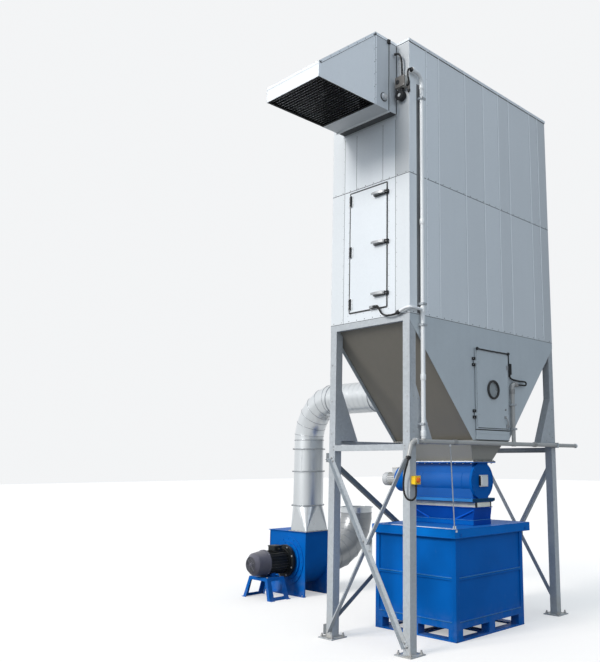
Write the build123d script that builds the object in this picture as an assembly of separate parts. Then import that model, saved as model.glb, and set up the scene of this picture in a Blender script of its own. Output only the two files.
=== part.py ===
from build123d import *
from math import atan2, cos, degrees, hypot, pi, radians, sin, tan
import os

os.makedirs("parts", exist_ok=True)

# Reverse air dust collector, in millimetres.
# A tall filter housing stands on four legs over a trough hopper, a rotary valve and a dust bin.
# A centrifugal fan beside it blows dusty air through a round duct into the hopper.
# The origin is the floor point in the middle of the four legs. +Z is up, the access door
# faces -Y, and the side with the hopper hatch faces +X.

# Filter housing
housing_width = 1216.0
housing_depth = 2800.0
housing_bottom = 3387.0
housing_seam = 4931.0
housing_top = 6500.0
sheet = 3.0
cassette_depth = 40.0
seam_gap = 3.0
front_corner_arm = 280.0
back_corner_arm = 200.0
corner_face_arm = 205.0
side_seam_shares = (0.095, 0.308, 0.466, 0.601, 0.703, 0.914)
end_seam_shares = (0.24, 0.76)
rail_size = 40.0
rail_wall = 3.0
rail_step = 6.0
roof_lip = 28.0
roof_overhang = 8.0

# Access door in the front face
door_width = 572.0
door_height = 1396.0
door_offset = -10.0
door_sill = 112.0
door_gap = 10.0
door_proud = 6.0
door_stop = 18.0
door_latch_size = (180.0, 40.0, 30.0)
door_latch_drop = 108.0
door_hinge_drop = 92.0
door_hinge_length = 120.0
door_hinge_radius = 11.0

# Outlet hood on the front face
hood_side_margin = 188.0
hood_height = 850.0
plenum_depth = 345.0
cowl_depth = 800.0
cowl_lip = 170.0
hood_flange = 22.0
outlet_width = 340.0
outlet_height = 700.0
outlet_rise = 75.0
slat_pitch = 40.0
slat_height = 18.0
slat_thickness = 3.0
grille_bar = 24.0
port_radius = 42.0
port_length = 36.0
port_inset = 135.0
port_height = 130.0
hood_band_place = 120.0
hood_band_depth = 6.0
hood_band_proud = 16.0
hood_gland_height = 690.0
hood_gland_reach = 55.0

# Leg frame
leg_size = 95.0
leg_wall = 5.0
base_plate_size = 220.0
base_plate_thickness = 12.0
anchor_spacing = 160.0
anchor_hole_radius = 11.0
end_beam_bottom = 1970.0
end_beam_height = 63.0
end_beam_depth = 50.0
beam_wall = 5.0
side_beam_size = 40.0
sill_height = 75.0
sill_depth = 60.0
gusset_length = 255.0
gusset_height = 565.0
gusset_wall = 4.0
brace_leg = 50.0
brace_wall = 5.0
brace_low = 80.0
brace_high = 1900.0
brace_standoff = 48.0
splice_size = 150.0

# Hopper
hopper_wall = 4.0
hopper_bottom = 2095.0
hopper_mouth = 694.0
hopper_lip = 40.0
hopper_flange = 12.0
neck_bottom = 1863.0
neck_top_inset = 53.0
neck_top_margin = 27.0
neck_end_width = 950.0
neck_end_depth = 370.0
neck_flange = 30.0
neck_flange_thickness = 10.0

# Hopper hatch, hinged at its front edge
hatch_width = 640.0
hatch_height = 922.0
hatch_offset = 20.0
hatch_bottom = 2217.0
hatch_depth = 18.0
hatch_sheet = 4.0
hatch_gap = 5.0
hatch_seal = 4.7
hatch_opening_margin = 40.0
hatch_hinge_radius = 9.0
hatch_pin_radius = 4.0
hatch_pin_clearance = 0.3
hatch_knuckle = 34.0
hatch_knuckle_gap = 1.0
hatch_hinge_drop = 165.0
port_ring_outer = 112.0
port_ring_inner = 88.0
port_ring_height = 14.0
port_glass_thickness = 8.0
port_level = 460.0

# Rotary valve, across the collector
valve_centre = 1640.0
valve_radius = 175.0
valve_half_length = 440.0
valve_throat_depth = 300.0
valve_flange_thickness = 12.0
valve_base = 1430.0
valve_collar_height = 33.0
valve_collar_inset = 15.0
valve_base_width = 970.0
valve_base_depth = 430.0
valve_cover_radius = 210.0
valve_cover_thickness = 30.0
bearing_box = 130.0
bearing_depth = 32.0
bracket_reach = 90.0
bracket_plate = 10.0
gearbox_radius = 150.0
gearbox_length = 190.0
drive_gap = 120.0
drive_shaft_radius = 30.0
drive_motor_radius = 80.0
drive_motor_length = 180.0
drive_cowl_radius = 84.0
drive_cowl_length = 62.0
drive_flange_radius = 100.0
drive_flange_thickness = 16.0
drive_terminal = (90.0, 90.0, 70.0)

# Sleeve and chute between the valve and the bin
sleeve_height = 52.0
sleeve_width = 960.0
sleeve_depth = 272.0
sleeve_wall = 10.0
chute_width = 950.0
chute_depth = 300.0
chute_wall = 6.0
chute_taper = 30.0
chute_lip = 12.0
chute_lip_thickness = 10.0
chute_rim_height = 58.0
chute_rim_thickness = 14.0
chute_rib_reach = 280.0
chute_rib_height = 127.0
chute_rib_width = 18.0

# Dust bin
bin_width = 1180.0
bin_depth = 1260.0
bin_shift = -30.0
bin_wall = 5.0
bin_underside = 125.0
bin_lid_top = 1145.0
bin_lid_rim = 95.0
bin_lid_overhang = 25.0
bin_lid_overhang_y = 85.0
bin_lid_shift = 15.0
bin_lid_wall = 6.0
bin_rib_level = 615.0
bin_rib_height = 34.0
bin_post = 58.0
bin_recess = 14.0
bin_rail_height = 78.0
bin_head_height = 70.0
foot_width = 110.0
runner_height = 18.0
chute_hole_width = 860.0
chute_hole_depth = 250.0

# Fan set beside the collector
fan_x = -3000.0
fan_shaft_level = 465.0
fan_front = 10.0
fan_depth = 400.0
fan_right_reach = 380.0
fan_left_reach = 423.0
fan_top = 866.0
fan_plate = 8.0
fan_outlet_width = 340.0
scroll_radius = 300.0
scroll_step = 30.0
scroll_shift = -10.0
fan_flange = 22.0
fan_flange_thickness = 8.0
fan_cover_radius = 335.0
fan_cover_proud = 9.0
fan_step_radius = 262.0
fan_step_proud = 18.0
fan_foot_depth = 45.0
fan_foot_thickness = 10.0
fan_foot_overhang = 26.0
motor_flange_radius = 222.0
motor_flange_thickness = 40.0
motor_neck_radius = 175.0
motor_neck_length = 24.0
motor_radius = 165.0
motor_body_length = 340.0
motor_fin_count = 26
motor_fin_height = 15.0
motor_fin_thickness = 5.0
motor_cover_radius = 176.0
motor_cover_nose = 148.0
motor_cover_length = 225.0
motor_cover_edge = 45.0
motor_grille_radius = 108.0
stand_top_width = 400.0
stand_foot_width = 606.0
stand_top_depth = 290.0
stand_foot_depth = 330.0
stand_plate = 8.0
stand_leg = 58.0
stand_rail = 42.0
stand_from_motor_end = 51.0
motor_lift = 14.0
cradle_half_width = 105.0
cradle_depth = 60.0
cradle_shift = 40.0
cradle_height = 46.0
seat_clearance = 0.2

# Round ducts
duct_radius = 212.0
duct_sheet = 3.0
duct_x = -2830.0
duct_y = 210.0
duct_bend_level = 2735.0
duct_bend_radius = 570.0
duct_flange = 22.0
duct_flange_thickness = 12.0
transition_top = 1230.0
transition_sides = 48
duct_joints = (transition_top, 1710.0, 2030.0)
gore_count = 6
suction_radius = 242.0
suction_reach = 948.0
suction_bend_radius = 600.0
suction_top = 1155.0
suction_bolt_count = 8
suction_bolt_radius = 5.0

# Conduits and switches
conduit_radius = 24.0
conduit_offset = 37.0
riser_inset = 165.0
riser_bend = 95.0
gooseneck_drop = 395.0
header_drop = 35.0
header_overrun = 450.0
header_bend = 75.0
header_tip_reach = 66.0
header_tip_drop = 165.0
header_lead = 15.0
clamp_length = 24.0
clamp_wall = 8.0
riser_clamp_heights = (-1151.0, -117.0, 108.0, 2433.0)
drop_clamp_heights = (-1151.0, -864.0)
tee_length = 62.0
tee_wall = 5.0
branch_radius = 16.0
door_branch_standoff = 37.0
door_branch_height = 49.0
door_branch_low = 13.0
door_branch_reach = 176.0
door_branch_rise = 63.0
door_branch_bend = 34.0
drop_y = 400.0
drop_height = 675.0
drop_bend = 42.0
drop_tip = 90.0
gland_radius = 17.0
gland_length = 20.0
flex_radius = 10.5
junction_size = (135.0, 62.0, 125.0)
junction_inset = 145.0
junction_drop = 585.0
junction_entry = 67.0
gauge_entry_height = 15.0
gauge_radius = 56.0
gauge_length = 52.0
gauge_drop = 82.0
gauge_shift = 47.0
isolator_size = (52.0, 80.0, 82.0)
isolator_inset = 20.0
isolator_bottom = 1632.0
isolator_entry_reach = 28.0
knob_radius = 20.0
knob_length = 22.0
door_switch_size = (80.0, 34.0, 26.0)
door_switch_x = 50.0
hatch_switch_size = (34.0, 52.0, 128.0)
hatch_switch_gap = 6.0
hatch_switch_height = 668.0
hatch_rod_radius = 8.0
hatch_rod_length = 112.0
hatch_rod_inset = 14.0
hatch_rod_lift = 17.0
strut_radius = 6.0
strut_tip = 1.2
strut_top_y = -800.0
strut_foot = (575.0, -655.0)

# Places worked out from the sizes above
half_width = housing_width / 2
half_depth = housing_depth / 2
leg_face = half_width - hopper_wall
leg_x = leg_face - leg_size / 2
leg_y = half_depth - leg_size / 2
leg_inner_x = leg_face - leg_size
leg_inner_y = half_depth - leg_size
panel_top = housing_top - sheet
side_beam_top = hopper_bottom - hopper_flange
hopper_slope_top = housing_bottom - sill_height
slope_run = half_depth - hopper_mouth / 2
slope_rise = hopper_slope_top - hopper_bottom
slope_angle = atan2(slope_rise, slope_run)
neck_top_width = housing_width - 2 * neck_top_inset
neck_top_depth = hopper_mouth - 2 * neck_top_margin
valve_collar_low = valve_base - valve_collar_height
bin_top = bin_lid_top - bin_lid_wall
fan_right = fan_x + fan_right_reach
fan_left = fan_x - fan_left_reach
fan_back = fan_front + fan_depth
suction_y = fan_back + suction_reach
conduit_x = half_width + conduit_offset
door_branch_start = conduit_x - door_branch_reach
door_branch_corner = conduit_x - door_branch_rise
junction_left = half_width - junction_inset
junction_bottom = housing_top - junction_drop
hood_width = housing_width - 2 * hood_side_margin
riser_y = -half_depth + riser_inset
riser_top = housing_top - gooseneck_drop
header_level = hopper_bottom - header_drop


def block(x, y, z):
    """Box from the low and high value along each axis."""
    low = (x[0], y[0], z[0])
    size = (x[1] - x[0], y[1] - y[0], z[1] - z[0])
    return Pos(*(a + b / 2 for a, b in zip(low, size))) * Box(*size)


def centred(length, middle=0):
    """Low and high value of a length laid evenly about a place."""
    return (middle - length / 2, middle + length / 2)


def rod(start, end, radius):
    """Round bar between two points."""
    axis = Vector(*end) - Vector(*start)
    plane = Plane(origin=start, z_dir=axis)
    return extrude(plane * Circle(radius), axis.length)


def bent_rod(points, radius, bends):
    """Round bar along straight runs joined by tangent arcs, one bend radius for each corner."""
    path = FilletPolyline(*points, radius=bends)
    return sweep(Plane(origin=path @ 0, z_dir=path % 0) * Circle(radius), path=path)


def tapered_block(low, low_size, high, high_size):
    """Upright block that tapers evenly on its four sides between two rectangles."""
    profiles = []
    for plane, index in ((Plane.XZ, 0), (Plane.YZ, 1)):
        foot = low_size[index] / 2
        head = high_size[index] / 2
        face = make_face(plane * Polyline((-foot, low), (foot, low), (head, high), (-head, high), close=True))
        profiles.append(extrude(face, 2 * max(low_size + high_size), both=True))
    return profiles[0] & profiles[1]


def mirrored_x(shape):
    """The same piece on the other side of the middle plane between left and right."""
    return mirror(shape, about=Plane.YZ)


def mirrored_y(shape):
    """The same piece on the other side of the middle plane between front and back."""
    return mirror(shape, about=Plane.XZ)


def group(pieces):
    """Solids that share one node."""
    return Compound(children=list(pieces))


def bar_ring(width, depth, bottom, top, bar):
    """Flat rectangular ring round the vertical axis."""
    outer = block((-width / 2, width / 2), (-depth / 2, depth / 2), (bottom, top))
    inner = block((-width / 2 + bar, width / 2 - bar), (-depth / 2 + bar, depth / 2 - bar),
                  (bottom - 1, top + 1))
    return outer - inner


# The four faces of the housing: the turn about Z that brings a front piece there,
# and the distance of the face from the middle
faces = {
    "front": (0, half_depth),
    "right": (90, half_width),
    "back": (180, half_depth),
    "left": (-90, half_width),
}


def cassette(face, start, end, bottom, top):
    """Folded wall pan: an outer sheet with returns on its four edges, open to the inside."""
    turn, reach = faces[face]
    half_gap = seam_gap / 2
    u = (start + half_gap, end - half_gap)
    z = (bottom + half_gap, top - half_gap)
    pan = block(u, (-reach, -reach + cassette_depth), z)
    hollow = block((u[0] + sheet, u[1] - sheet), (-reach + sheet, -reach + cassette_depth + 1),
                   (z[0] + sheet, z[1] - sheet))
    return Rot(0, 0, turn) * (pan - hollow)


def seams(start, end, shares):
    """Edges of a row of cassettes between two corners."""
    return [start] + [start + (end - start) * share for share in shares] + [end]


def cassette_row(face, start, end, shares, bottom, top):
    """One row of cassettes side by side."""
    edges = seams(start, end, shares)
    return [cassette(face, a, b, bottom, top) for a, b in zip(edges, edges[1:])]


def corner_post(sign_x, sign_y, bottom, top):
    """Folded corner sheet with a return at the end of each arm."""
    arm_y = front_corner_arm if sign_y < 0 else back_corner_arm
    arm_x = corner_face_arm
    half_gap = seam_gap / 2
    d = cassette_depth
    s = sheet
    ax = arm_x - half_gap
    ay = arm_y - half_gap
    outer = Polyline((0, 0), (ax, 0), (ax, d), (d, d), (d, ay), (0, ay), close=True)
    inner = Polyline((s, s), (ax - s, s), (ax - s, d), (d, d), (d, ay - s), (s, ay - s), close=True)
    profile = make_face(outer) - make_face(inner)
    post = extrude(profile, top - bottom - seam_gap)
    post = Pos(-half_width, -half_depth, bottom + half_gap) * post
    if sign_x > 0:
        post = mirrored_x(post)
    if sign_y > 0:
        post = mirrored_y(post)
    return post


def make_housing():
    """Corner posts, cassettes, inner rails and the roof of the filter housing."""
    rows = {"lower": (housing_bottom, housing_seam), "upper": (housing_seam, panel_top)}
    nodes = {}
    corners = [(x, y) for x in (-1, 1) for y in (-1, 1)]
    nodes["corner_posts"] = group(corner_post(x, y, *rows[row]) for x, y in corners for row in rows)
    side_start = -half_depth + front_corner_arm
    side_end = half_depth - back_corner_arm
    end_edge = half_width - corner_face_arm
    right = []
    back = []
    for bottom, top in rows.values():
        right += cassette_row("right", side_start, side_end, side_seam_shares, bottom, top)
        back += cassette_row("back", -end_edge, end_edge, end_seam_shares, bottom, top)
    nodes["right_panels"] = group(right)
    nodes["left_panels"] = group(mirrored_x(panel) for panel in right)
    nodes["back_panels"] = group(back)
    front = cassette_row("front", -end_edge, end_edge, end_seam_shares, *rows["upper"])
    outlet_low = housing_top - hood_height + outlet_rise
    front[1] -= block((-outlet_width / 2, outlet_width / 2), (-half_depth - 1, -half_depth + cassette_depth),
                      (outlet_low, outlet_low + outlet_height))
    nodes["front_panels_upper"] = group(front)
    nodes["front_panel_lower"] = make_door_panel(cassette("front", -end_edge, end_edge, *rows["lower"]))
    rails = []
    rail_width = housing_width - 2 * cassette_depth
    rail_depth = housing_depth - 2 * cassette_depth
    for level in (housing_bottom, housing_seam - rail_step, panel_top - rail_size):
        rails.append(bar_ring(rail_width, rail_depth, level, level + rail_size, rail_wall))
    nodes["inner_rails"] = group(rails)
    nodes["roof"] = make_roof()
    return nodes


def make_roof():
    """Roof sheet with a turned down lip, notched where the outlet hood joins it."""
    x = half_width + roof_overhang
    y = half_depth + roof_overhang
    pan = block((-x, x), (-y, y), (housing_top - roof_lip, housing_top))
    x_in = x - sheet
    y_in = y - sheet
    pan -= block((-x_in, x_in), (-y_in, y_in), (housing_top - roof_lip - 1, panel_top))
    notch = hood_width / 2 + seam_gap
    pan -= block((-notch, notch), (-y - 1, -half_depth), (housing_top - roof_lip - 1, housing_top + 1))
    return pan


def make_door_panel(pan):
    """Lower front cassette with the doorway, its jamb and the stop that the door shuts against."""
    face = -half_depth
    seat = face + cassette_depth
    x = door_x(door_gap)
    z = door_z(door_gap)
    jamb = block((x[0] - sheet, x[1] + sheet), (face, seat + sheet), (z[0] - sheet, z[1] + sheet))
    jamb -= block(x, (face - 1, seat), z)
    jamb -= block(door_x(-door_stop), (seat - 1, seat + sheet + 1), door_z(-door_stop))
    return pan - block(x, (face - 1, seat + 1), z) + jamb


def door_x(margin=0.0):
    """Left and right edge of the access door, grown by a margin."""
    return (door_offset - door_width / 2 - margin, door_offset + door_width / 2 + margin)


def door_z(margin=0.0):
    """Bottom and top edge of the access door, grown by a margin."""
    bottom = housing_bottom + door_sill
    return (bottom - margin, bottom + door_height + margin)


def make_access_door():
    """Access door leaf, its three hinges and three latches."""
    nodes = {}
    x = door_x()
    z = door_z()
    front = -half_depth - door_proud
    seat = -half_depth + cassette_depth
    leaf = block(x, (front, seat), z)
    leaf -= block((x[0] + sheet, x[1] - sheet), (front + sheet, seat + 1), (z[0] + sheet, z[1] - sheet))
    nodes["access_door"] = leaf
    hinge_x = x[0] - door_gap / 2
    hinges = []
    middle = (z[0] + z[1]) / 2
    for level in (z[0] + door_hinge_drop, middle, z[1] - door_hinge_drop):
        low = level - door_hinge_length / 2
        high = level + door_hinge_length / 2
        y = front - door_hinge_radius - 2
        barrel = rod((hinge_x, y, low), (hinge_x, y, high), door_hinge_radius)
        plate = block((hinge_x - 45, hinge_x), (y - 2, -half_depth), (low, high))
        leaf_plate = block((hinge_x, hinge_x + 38), (y - 2, front), (low, high))
        hinges.append(barrel + plate + leaf_plate)
    nodes["door_hinges"] = group(hinges)
    length, height, depth = door_latch_size
    latches = []
    for level in (z[0] + door_latch_drop + 40, middle + 25, z[1] - door_latch_drop):
        edge = x[1] + door_gap / 2
        rise = (level - height / 2, level + height / 2)
        handle = block((edge - length, edge - 6), (front - depth, front), rise)
        keeper = block((edge + 6, edge + 26), (-half_depth - depth, -half_depth),
                       (level - height / 2, level + height / 2))
        bolt = block((edge - 6, edge + 6), (front - depth + 6, front - 6),
                     (level - height / 4, level + height / 4))
        latches.append(handle + keeper + bolt)
    length, depth, height = door_switch_size
    switch_x = (door_switch_x, door_switch_x + length)
    latches.append(block(switch_x, (front - depth, front), (z[0], z[0] + height)))
    nodes["door_latches"] = group(latches)
    return nodes


def make_hood():
    """Outlet hood: plenum box on the housing, rain cowl, and the grille that closes it below."""
    nodes = {}
    x = hood_width / 2
    top = housing_top
    bottom = housing_top - hood_height
    back = -half_depth
    joint = back - plenum_depth
    front = joint - cowl_depth
    box = block((-x, x), (joint, back), (bottom, top))
    box -= block((-x + sheet, x - sheet), (joint - 1, back + 1), (bottom + sheet, top - sheet))
    edge = x + hood_flange
    collar = block((-edge, edge), (back - sheet, back), (bottom - hood_flange, top - roof_lip))
    collar -= block((-x, x), (back - sheet - 1, back + 1), (bottom, top))
    port_y = back - plenum_depth + port_inset
    port_z = bottom + port_height
    port = rod((x, port_y, port_z), (x + port_length, port_y, port_z), port_radius * 0.75)
    port += rod((x, port_y, port_z), (x + port_length / 3, port_y, port_z), port_radius)
    band_y = back - hood_band_place
    band_edge = x + hood_band_proud
    band = block((-band_edge, band_edge), (band_y - hood_band_depth, band_y),
                 (bottom - hood_band_proud, top))
    band -= block((-x, x), (band_y - hood_band_depth - 1, band_y + 1), (bottom, top + 1))
    gland_y = back - hood_gland_reach
    gland_z = bottom + hood_gland_height
    gland = rod((x, gland_y, gland_z), (x + gland_length, gland_y, gland_z), gland_radius)
    nodes["hood_plenum"] = box + collar + port + band + gland
    lip = bottom + cowl_lip
    side = Plane.YZ.offset(-x)
    edges = Polyline((joint, bottom), (joint, top), (front, lip), (front, bottom), close=True)
    outline = make_face(side * edges)
    cowl = extrude(outline, 2 * x)
    pitch = atan2(top - lip, cowl_depth)
    drop = sheet / cos(pitch)
    inner_side = Plane.YZ.offset(-x + sheet)
    hollow_points = ((joint + 1, bottom - 1), (joint + 1, top - drop), (joint, top - drop),
                     (front + sheet, lip - drop + sheet * tan(pitch)), (front + sheet, bottom - 1))
    hollow = extrude(make_face(inner_side * Polyline(*hollow_points, close=True)), 2 * (x - sheet))
    nodes["hood_cowl"] = cowl - hollow
    inside_x = x - sheet
    inside_front = front + sheet
    frame = block((-inside_x, inside_x), (inside_front, joint), (bottom, bottom + slat_height))
    frame -= block((-inside_x + grille_bar, inside_x - grille_bar),
                   (inside_front + grille_bar, joint - grille_bar), (bottom - 1, bottom + slat_height + 1))
    clear_front = inside_front + grille_bar
    clear_back = joint - grille_bar
    count = int((clear_back - clear_front) / slat_pitch)
    spacing = (clear_back - clear_front) / (count + 1)
    reach = inside_x - grille_bar
    grille = frame
    for index in range(1, count + 1):
        y = clear_front + index * spacing
        grille += block((-reach, reach), (y - slat_thickness / 2, y + slat_thickness / 2),
                        (bottom + 2, bottom + slat_height - 2))
    nodes["hood_grille"] = grille
    return nodes


def make_frame():
    """Legs, base plates, ring beams, sills and knee gussets."""
    nodes = {}
    corners = [(sx, sy) for sx in (-1, 1) for sy in (-1, 1)]
    legs = []
    plates = []
    for sx, sy in corners:
        column = Pos(sx * leg_x, sy * leg_y, base_plate_thickness) * extrude(
            Rectangle(leg_size, leg_size) - Rectangle(leg_size - 2 * leg_wall, leg_size - 2 * leg_wall),
            housing_bottom - base_plate_thickness)
        legs.append(column)
        sketch = Rectangle(base_plate_size, base_plate_size)
        sketch -= GridLocations(anchor_spacing, anchor_spacing, 2, 2) * Circle(anchor_hole_radius)
        plates.append(Pos(sx * leg_x, sy * leg_y, 0) * extrude(sketch, base_plate_thickness))
    nodes["legs"] = group(legs)
    nodes["base_plates"] = group(plates)
    top = end_beam_bottom + end_beam_height
    channel = channel_beam(leg_inner_x, -half_depth, end_beam_bottom, top, end_beam_depth)
    sill = channel_beam(leg_inner_x, -half_depth, hopper_slope_top, housing_bottom, sill_depth)
    beam = block((leg_face - side_beam_size, leg_face), (-leg_inner_y, leg_inner_y),
                 (side_beam_top - side_beam_size, side_beam_top))
    beams = (channel, mirrored_y(channel), sill, mirrored_y(sill), beam, mirrored_x(beam))
    nodes["frame_beams"] = group(beams)
    gussets = []
    for sx, sy in corners:
        gusset = make_gusset()
        if sx < 0:
            gusset = mirrored_x(gusset)
        if sy > 0:
            gusset = mirrored_y(gusset)
        gussets.append(gusset)
    nodes["knee_gussets"] = group(gussets)
    return nodes


def channel_beam(reach, face, bottom, top, depth):
    """Channel along X with its web on the outer face and its flanges turned inwards."""
    beam = block((-reach, reach), (face, face + depth), (bottom, top))
    return beam - block((-reach - 1, reach + 1), (face + beam_wall, face + depth + 1),
                        (bottom + beam_wall, top - beam_wall))


def make_gusset():
    """Folded knee gusset of the leg's width, between a leg and the side beam."""
    low = side_beam_top
    start = -leg_inner_y
    outline = Polyline((start, low), (start, low + gusset_height), (start + gusset_length, low), close=True)
    shape = extrude(make_face(Plane.YZ.offset(leg_inner_x) * outline), leg_size, dir=(1, 0, 0))
    wall = gusset_wall
    slope = hypot(gusset_length, gusset_height)
    inset_y = wall * slope / gusset_height
    inset_z = wall * slope / gusset_length
    inner = Polyline((start - 1, low - 1), (start - 1, low + gusset_height - inset_z),
                     (start, low + gusset_height - inset_z), (start + gusset_length - inset_y, low),
                     (start + gusset_length - inset_y, low - 1), close=True)
    hollow = make_face(Plane.YZ.offset(leg_inner_x + wall) * inner)
    return shape - extrude(hollow, leg_size - 2 * wall, dir=(1, 0, 0))


def brace_angle(start, end, face, side, outwards=-1):
    """Angle bar in a front plane: flat leg on the face, other leg standing out along one edge."""
    along = Vector(end[0] - start[0], end[1] - start[1], 0)
    turn = degrees(atan2(along.Y, along.X))
    length = along.length
    flat = block((0, length), (-brace_leg / 2, brace_leg / 2), (0, brace_wall))
    edge = side * (brace_leg / 2 - brace_wall / 2)
    upright = block((0, length), (edge - brace_wall / 2, edge + brace_wall / 2), (0, brace_leg))
    bar = Pos(start[0], start[1], 0) * Rot(0, 0, turn) * (flat + upright)
    plane = Plane(origin=(0, face, 0), x_dir=(1, 0, 0), z_dir=(0, -1, 0))
    return plane.location * bar


def brace_cross(reach, face):
    """Cross of angle bars between two legs: one runs through, the other meets it in two halves."""
    low = brace_low
    high = brace_high
    main = brace_angle((-reach, high), (reach, low), face, -1)
    crossing_gap = brace_leg * 0.75
    span = hypot(2 * reach, high - low)
    stop = 0.5 - crossing_gap / span
    middle_low = (-reach + 2 * reach * stop, low + (high - low) * stop)
    middle_high = (reach - 2 * reach * stop, high - (high - low) * stop)
    lower = brace_angle((-reach, low), middle_low, face, -1)
    upper = brace_angle(middle_high, (reach, high), face, -1)
    half = splice_size / 2
    level = (low + high) / 2
    splice = block((-half, half), (face, face + brace_wall), (level - half, level + half))
    return [main, lower, upper, splice]


def make_braces():
    """Crossed bracing on the front, back and left sides; the right side is open for the bin."""
    nodes = {}
    front = brace_cross(leg_x, -half_depth)
    nodes["end_braces"] = group(front + [mirrored_y(bar) for bar in front])
    turned = brace_cross(leg_y, -leg_face - brace_standoff)
    side = [Rot(0, 0, -90) * bar for bar in turned]
    for sy in (-1, 1):
        for level in (brace_low, brace_high):
            side.append(block((-leg_face - brace_standoff, -leg_face),
                              (sy * leg_y - leg_size / 2, sy * leg_y + leg_size / 2),
                              (level - brace_leg, level + brace_leg)))
    nodes["side_braces"] = group(side)
    return nodes


def slope_y(level):
    """Outer surface of the front slope plate at a height, inset by the lip of the side walls."""
    return -half_depth + (hopper_slope_top - level) / tan(slope_angle) + hopper_lip / sin(slope_angle)


def make_hopper():
    """Trough hopper: two upright side walls, two slopes, bottom flange and neck."""
    nodes = {}
    mouth = hopper_mouth / 2
    outline = ((-half_depth, housing_bottom), (-half_depth, hopper_slope_top), (-mouth, hopper_bottom),
               (mouth, hopper_bottom), (half_depth, hopper_slope_top), (half_depth, housing_bottom))
    wall = extrude(make_face(Plane.YZ.offset(half_width - hopper_wall) * Polyline(*outline, close=True)),
                   hopper_wall)
    shelf = block((half_width - cassette_depth, half_width), (-leg_inner_y, leg_inner_y),
                  (housing_bottom - hopper_wall, housing_bottom))
    wall += shelf
    hatch_y = hatch_edges(-hatch_opening_margin)
    hatch_z = (hatch_bottom + hatch_opening_margin, hatch_bottom + hatch_height - hatch_opening_margin)
    opening = block((half_width - 50, half_width + 1), hatch_y, hatch_z)
    nodes["hopper_right_wall"] = wall - opening
    left = mirrored_x(wall)
    left -= rod((-half_width - 1, duct_y, duct_bend_level), (-half_width + 50, duct_y, duct_bend_level),
                duct_radius - duct_sheet)
    nodes["hopper_left_wall"] = left
    inner = half_width - hopper_wall
    through = hopper_wall / sin(slope_angle)
    top_y = slope_y(hopper_slope_top)
    end_y = slope_y(hopper_bottom)
    points = ((top_y, hopper_slope_top), (end_y, hopper_bottom), (end_y + through, hopper_bottom),
              (top_y + through, hopper_slope_top))
    slab = extrude(make_face(Plane.YZ.offset(-inner) * Polyline(*points, close=True)), 2 * inner)
    for side in ((leg_inner_x, leg_face), (-leg_face, -leg_inner_x)):
        slab -= block(side, (-half_depth, -leg_inner_y), (0, housing_bottom))
    nodes["hopper_front_slope"] = slab
    nodes["hopper_back_slope"] = mirrored_y(slab)
    plate = block((-half_width, half_width), (-mouth, mouth), (side_beam_top, hopper_bottom))
    top_x = neck_top_width / 2
    top_y = neck_top_depth / 2
    end_x = neck_end_width / 2
    end_y = neck_end_depth / 2
    w = hopper_wall
    plate -= block((-top_x + w, top_x - w), (-top_y + w, top_y - w), (side_beam_top - 1, hopper_bottom + 1))
    outer = tapered_block(neck_bottom, (2 * end_x, 2 * end_y), side_beam_top, (2 * top_x, 2 * top_y))
    inner_cone = tapered_block(neck_bottom, (2 * (end_x - w), 2 * (end_y - w)),
                               side_beam_top, (2 * (top_x - w), 2 * (top_y - w)))
    flange = block((-end_x - neck_flange, end_x + neck_flange), (-end_y - neck_flange, end_y + neck_flange),
                   (neck_bottom - neck_flange_thickness, neck_bottom))
    flange -= block((-end_x + w, end_x - w), (-end_y + w, end_y - w),
                    (neck_bottom - neck_flange_thickness - 1, neck_bottom + 1))
    nodes["hopper_neck"] = plate + (outer - inner_cone) + flange
    return nodes


def hatch_edges(margin=0.0):
    """Front and back edge of the hatch leaf, grown by a margin."""
    return (hatch_offset - hatch_width / 2 - margin, hatch_offset + hatch_width / 2 + margin)


hatch_axis_x = half_width + hatch_gap + hatch_depth / 2
hatch_axis_y = hatch_edges()[0] - hatch_hinge_radius - 3


def make_hatch():
    """Hopper hatch with its porthole, hinges, catches and seal."""
    nodes = {}
    y = hatch_edges()
    z = (hatch_bottom, hatch_bottom + hatch_height)
    back = half_width + hatch_gap
    front = back + hatch_depth
    leaf = block((back, front), y, z)
    leaf -= block((back - 1, front - hatch_sheet), (y[0] + hatch_sheet, y[1] - hatch_sheet),
                  (z[0] + hatch_sheet, z[1] - hatch_sheet))
    port_z = hatch_bottom + port_level
    leaf -= rod((back - 1, hatch_offset, port_z), (front + 1, hatch_offset, port_z), port_ring_inner)
    glass = rod((front - hatch_sheet - port_glass_thickness, hatch_offset, port_z),
                (front - hatch_sheet, hatch_offset, port_z), port_ring_outer)
    nodes["hatch_glass"] = glass
    ring_end = (front + port_ring_height, hatch_offset, port_z)
    ring = rod((front, hatch_offset, port_z), ring_end, port_ring_outer)
    ring -= rod((front - 1, hatch_offset, port_z), (front + port_ring_height + 1, hatch_offset, port_z),
                port_ring_inner)
    nodes["hatch_port_ring"] = ring
    seal = block((half_width, half_width + hatch_seal), (y[0] + hatch_sheet, y[1] - hatch_sheet),
                 (z[0] + hatch_sheet, z[1] - hatch_sheet))
    inset = hatch_opening_margin
    seal -= block((half_width - 1, half_width + hatch_seal + 1), (y[0] + inset, y[1] - inset),
                  (z[0] + inset, z[1] - inset))
    nodes["hatch_seal"] = seal
    fixed = []
    moving = []
    for level in (z[0] + hatch_hinge_drop, z[1] - hatch_hinge_drop):
        fixed.append(hatch_fixed_hinge(level))
        moving.append(hatch_moving_hinge(level, y[0], back))
    nodes["hatch_hinge_pins"] = group(fixed)
    for knuckle in moving:
        leaf += knuckle
    nodes["hatch"] = leaf
    return nodes


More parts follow.
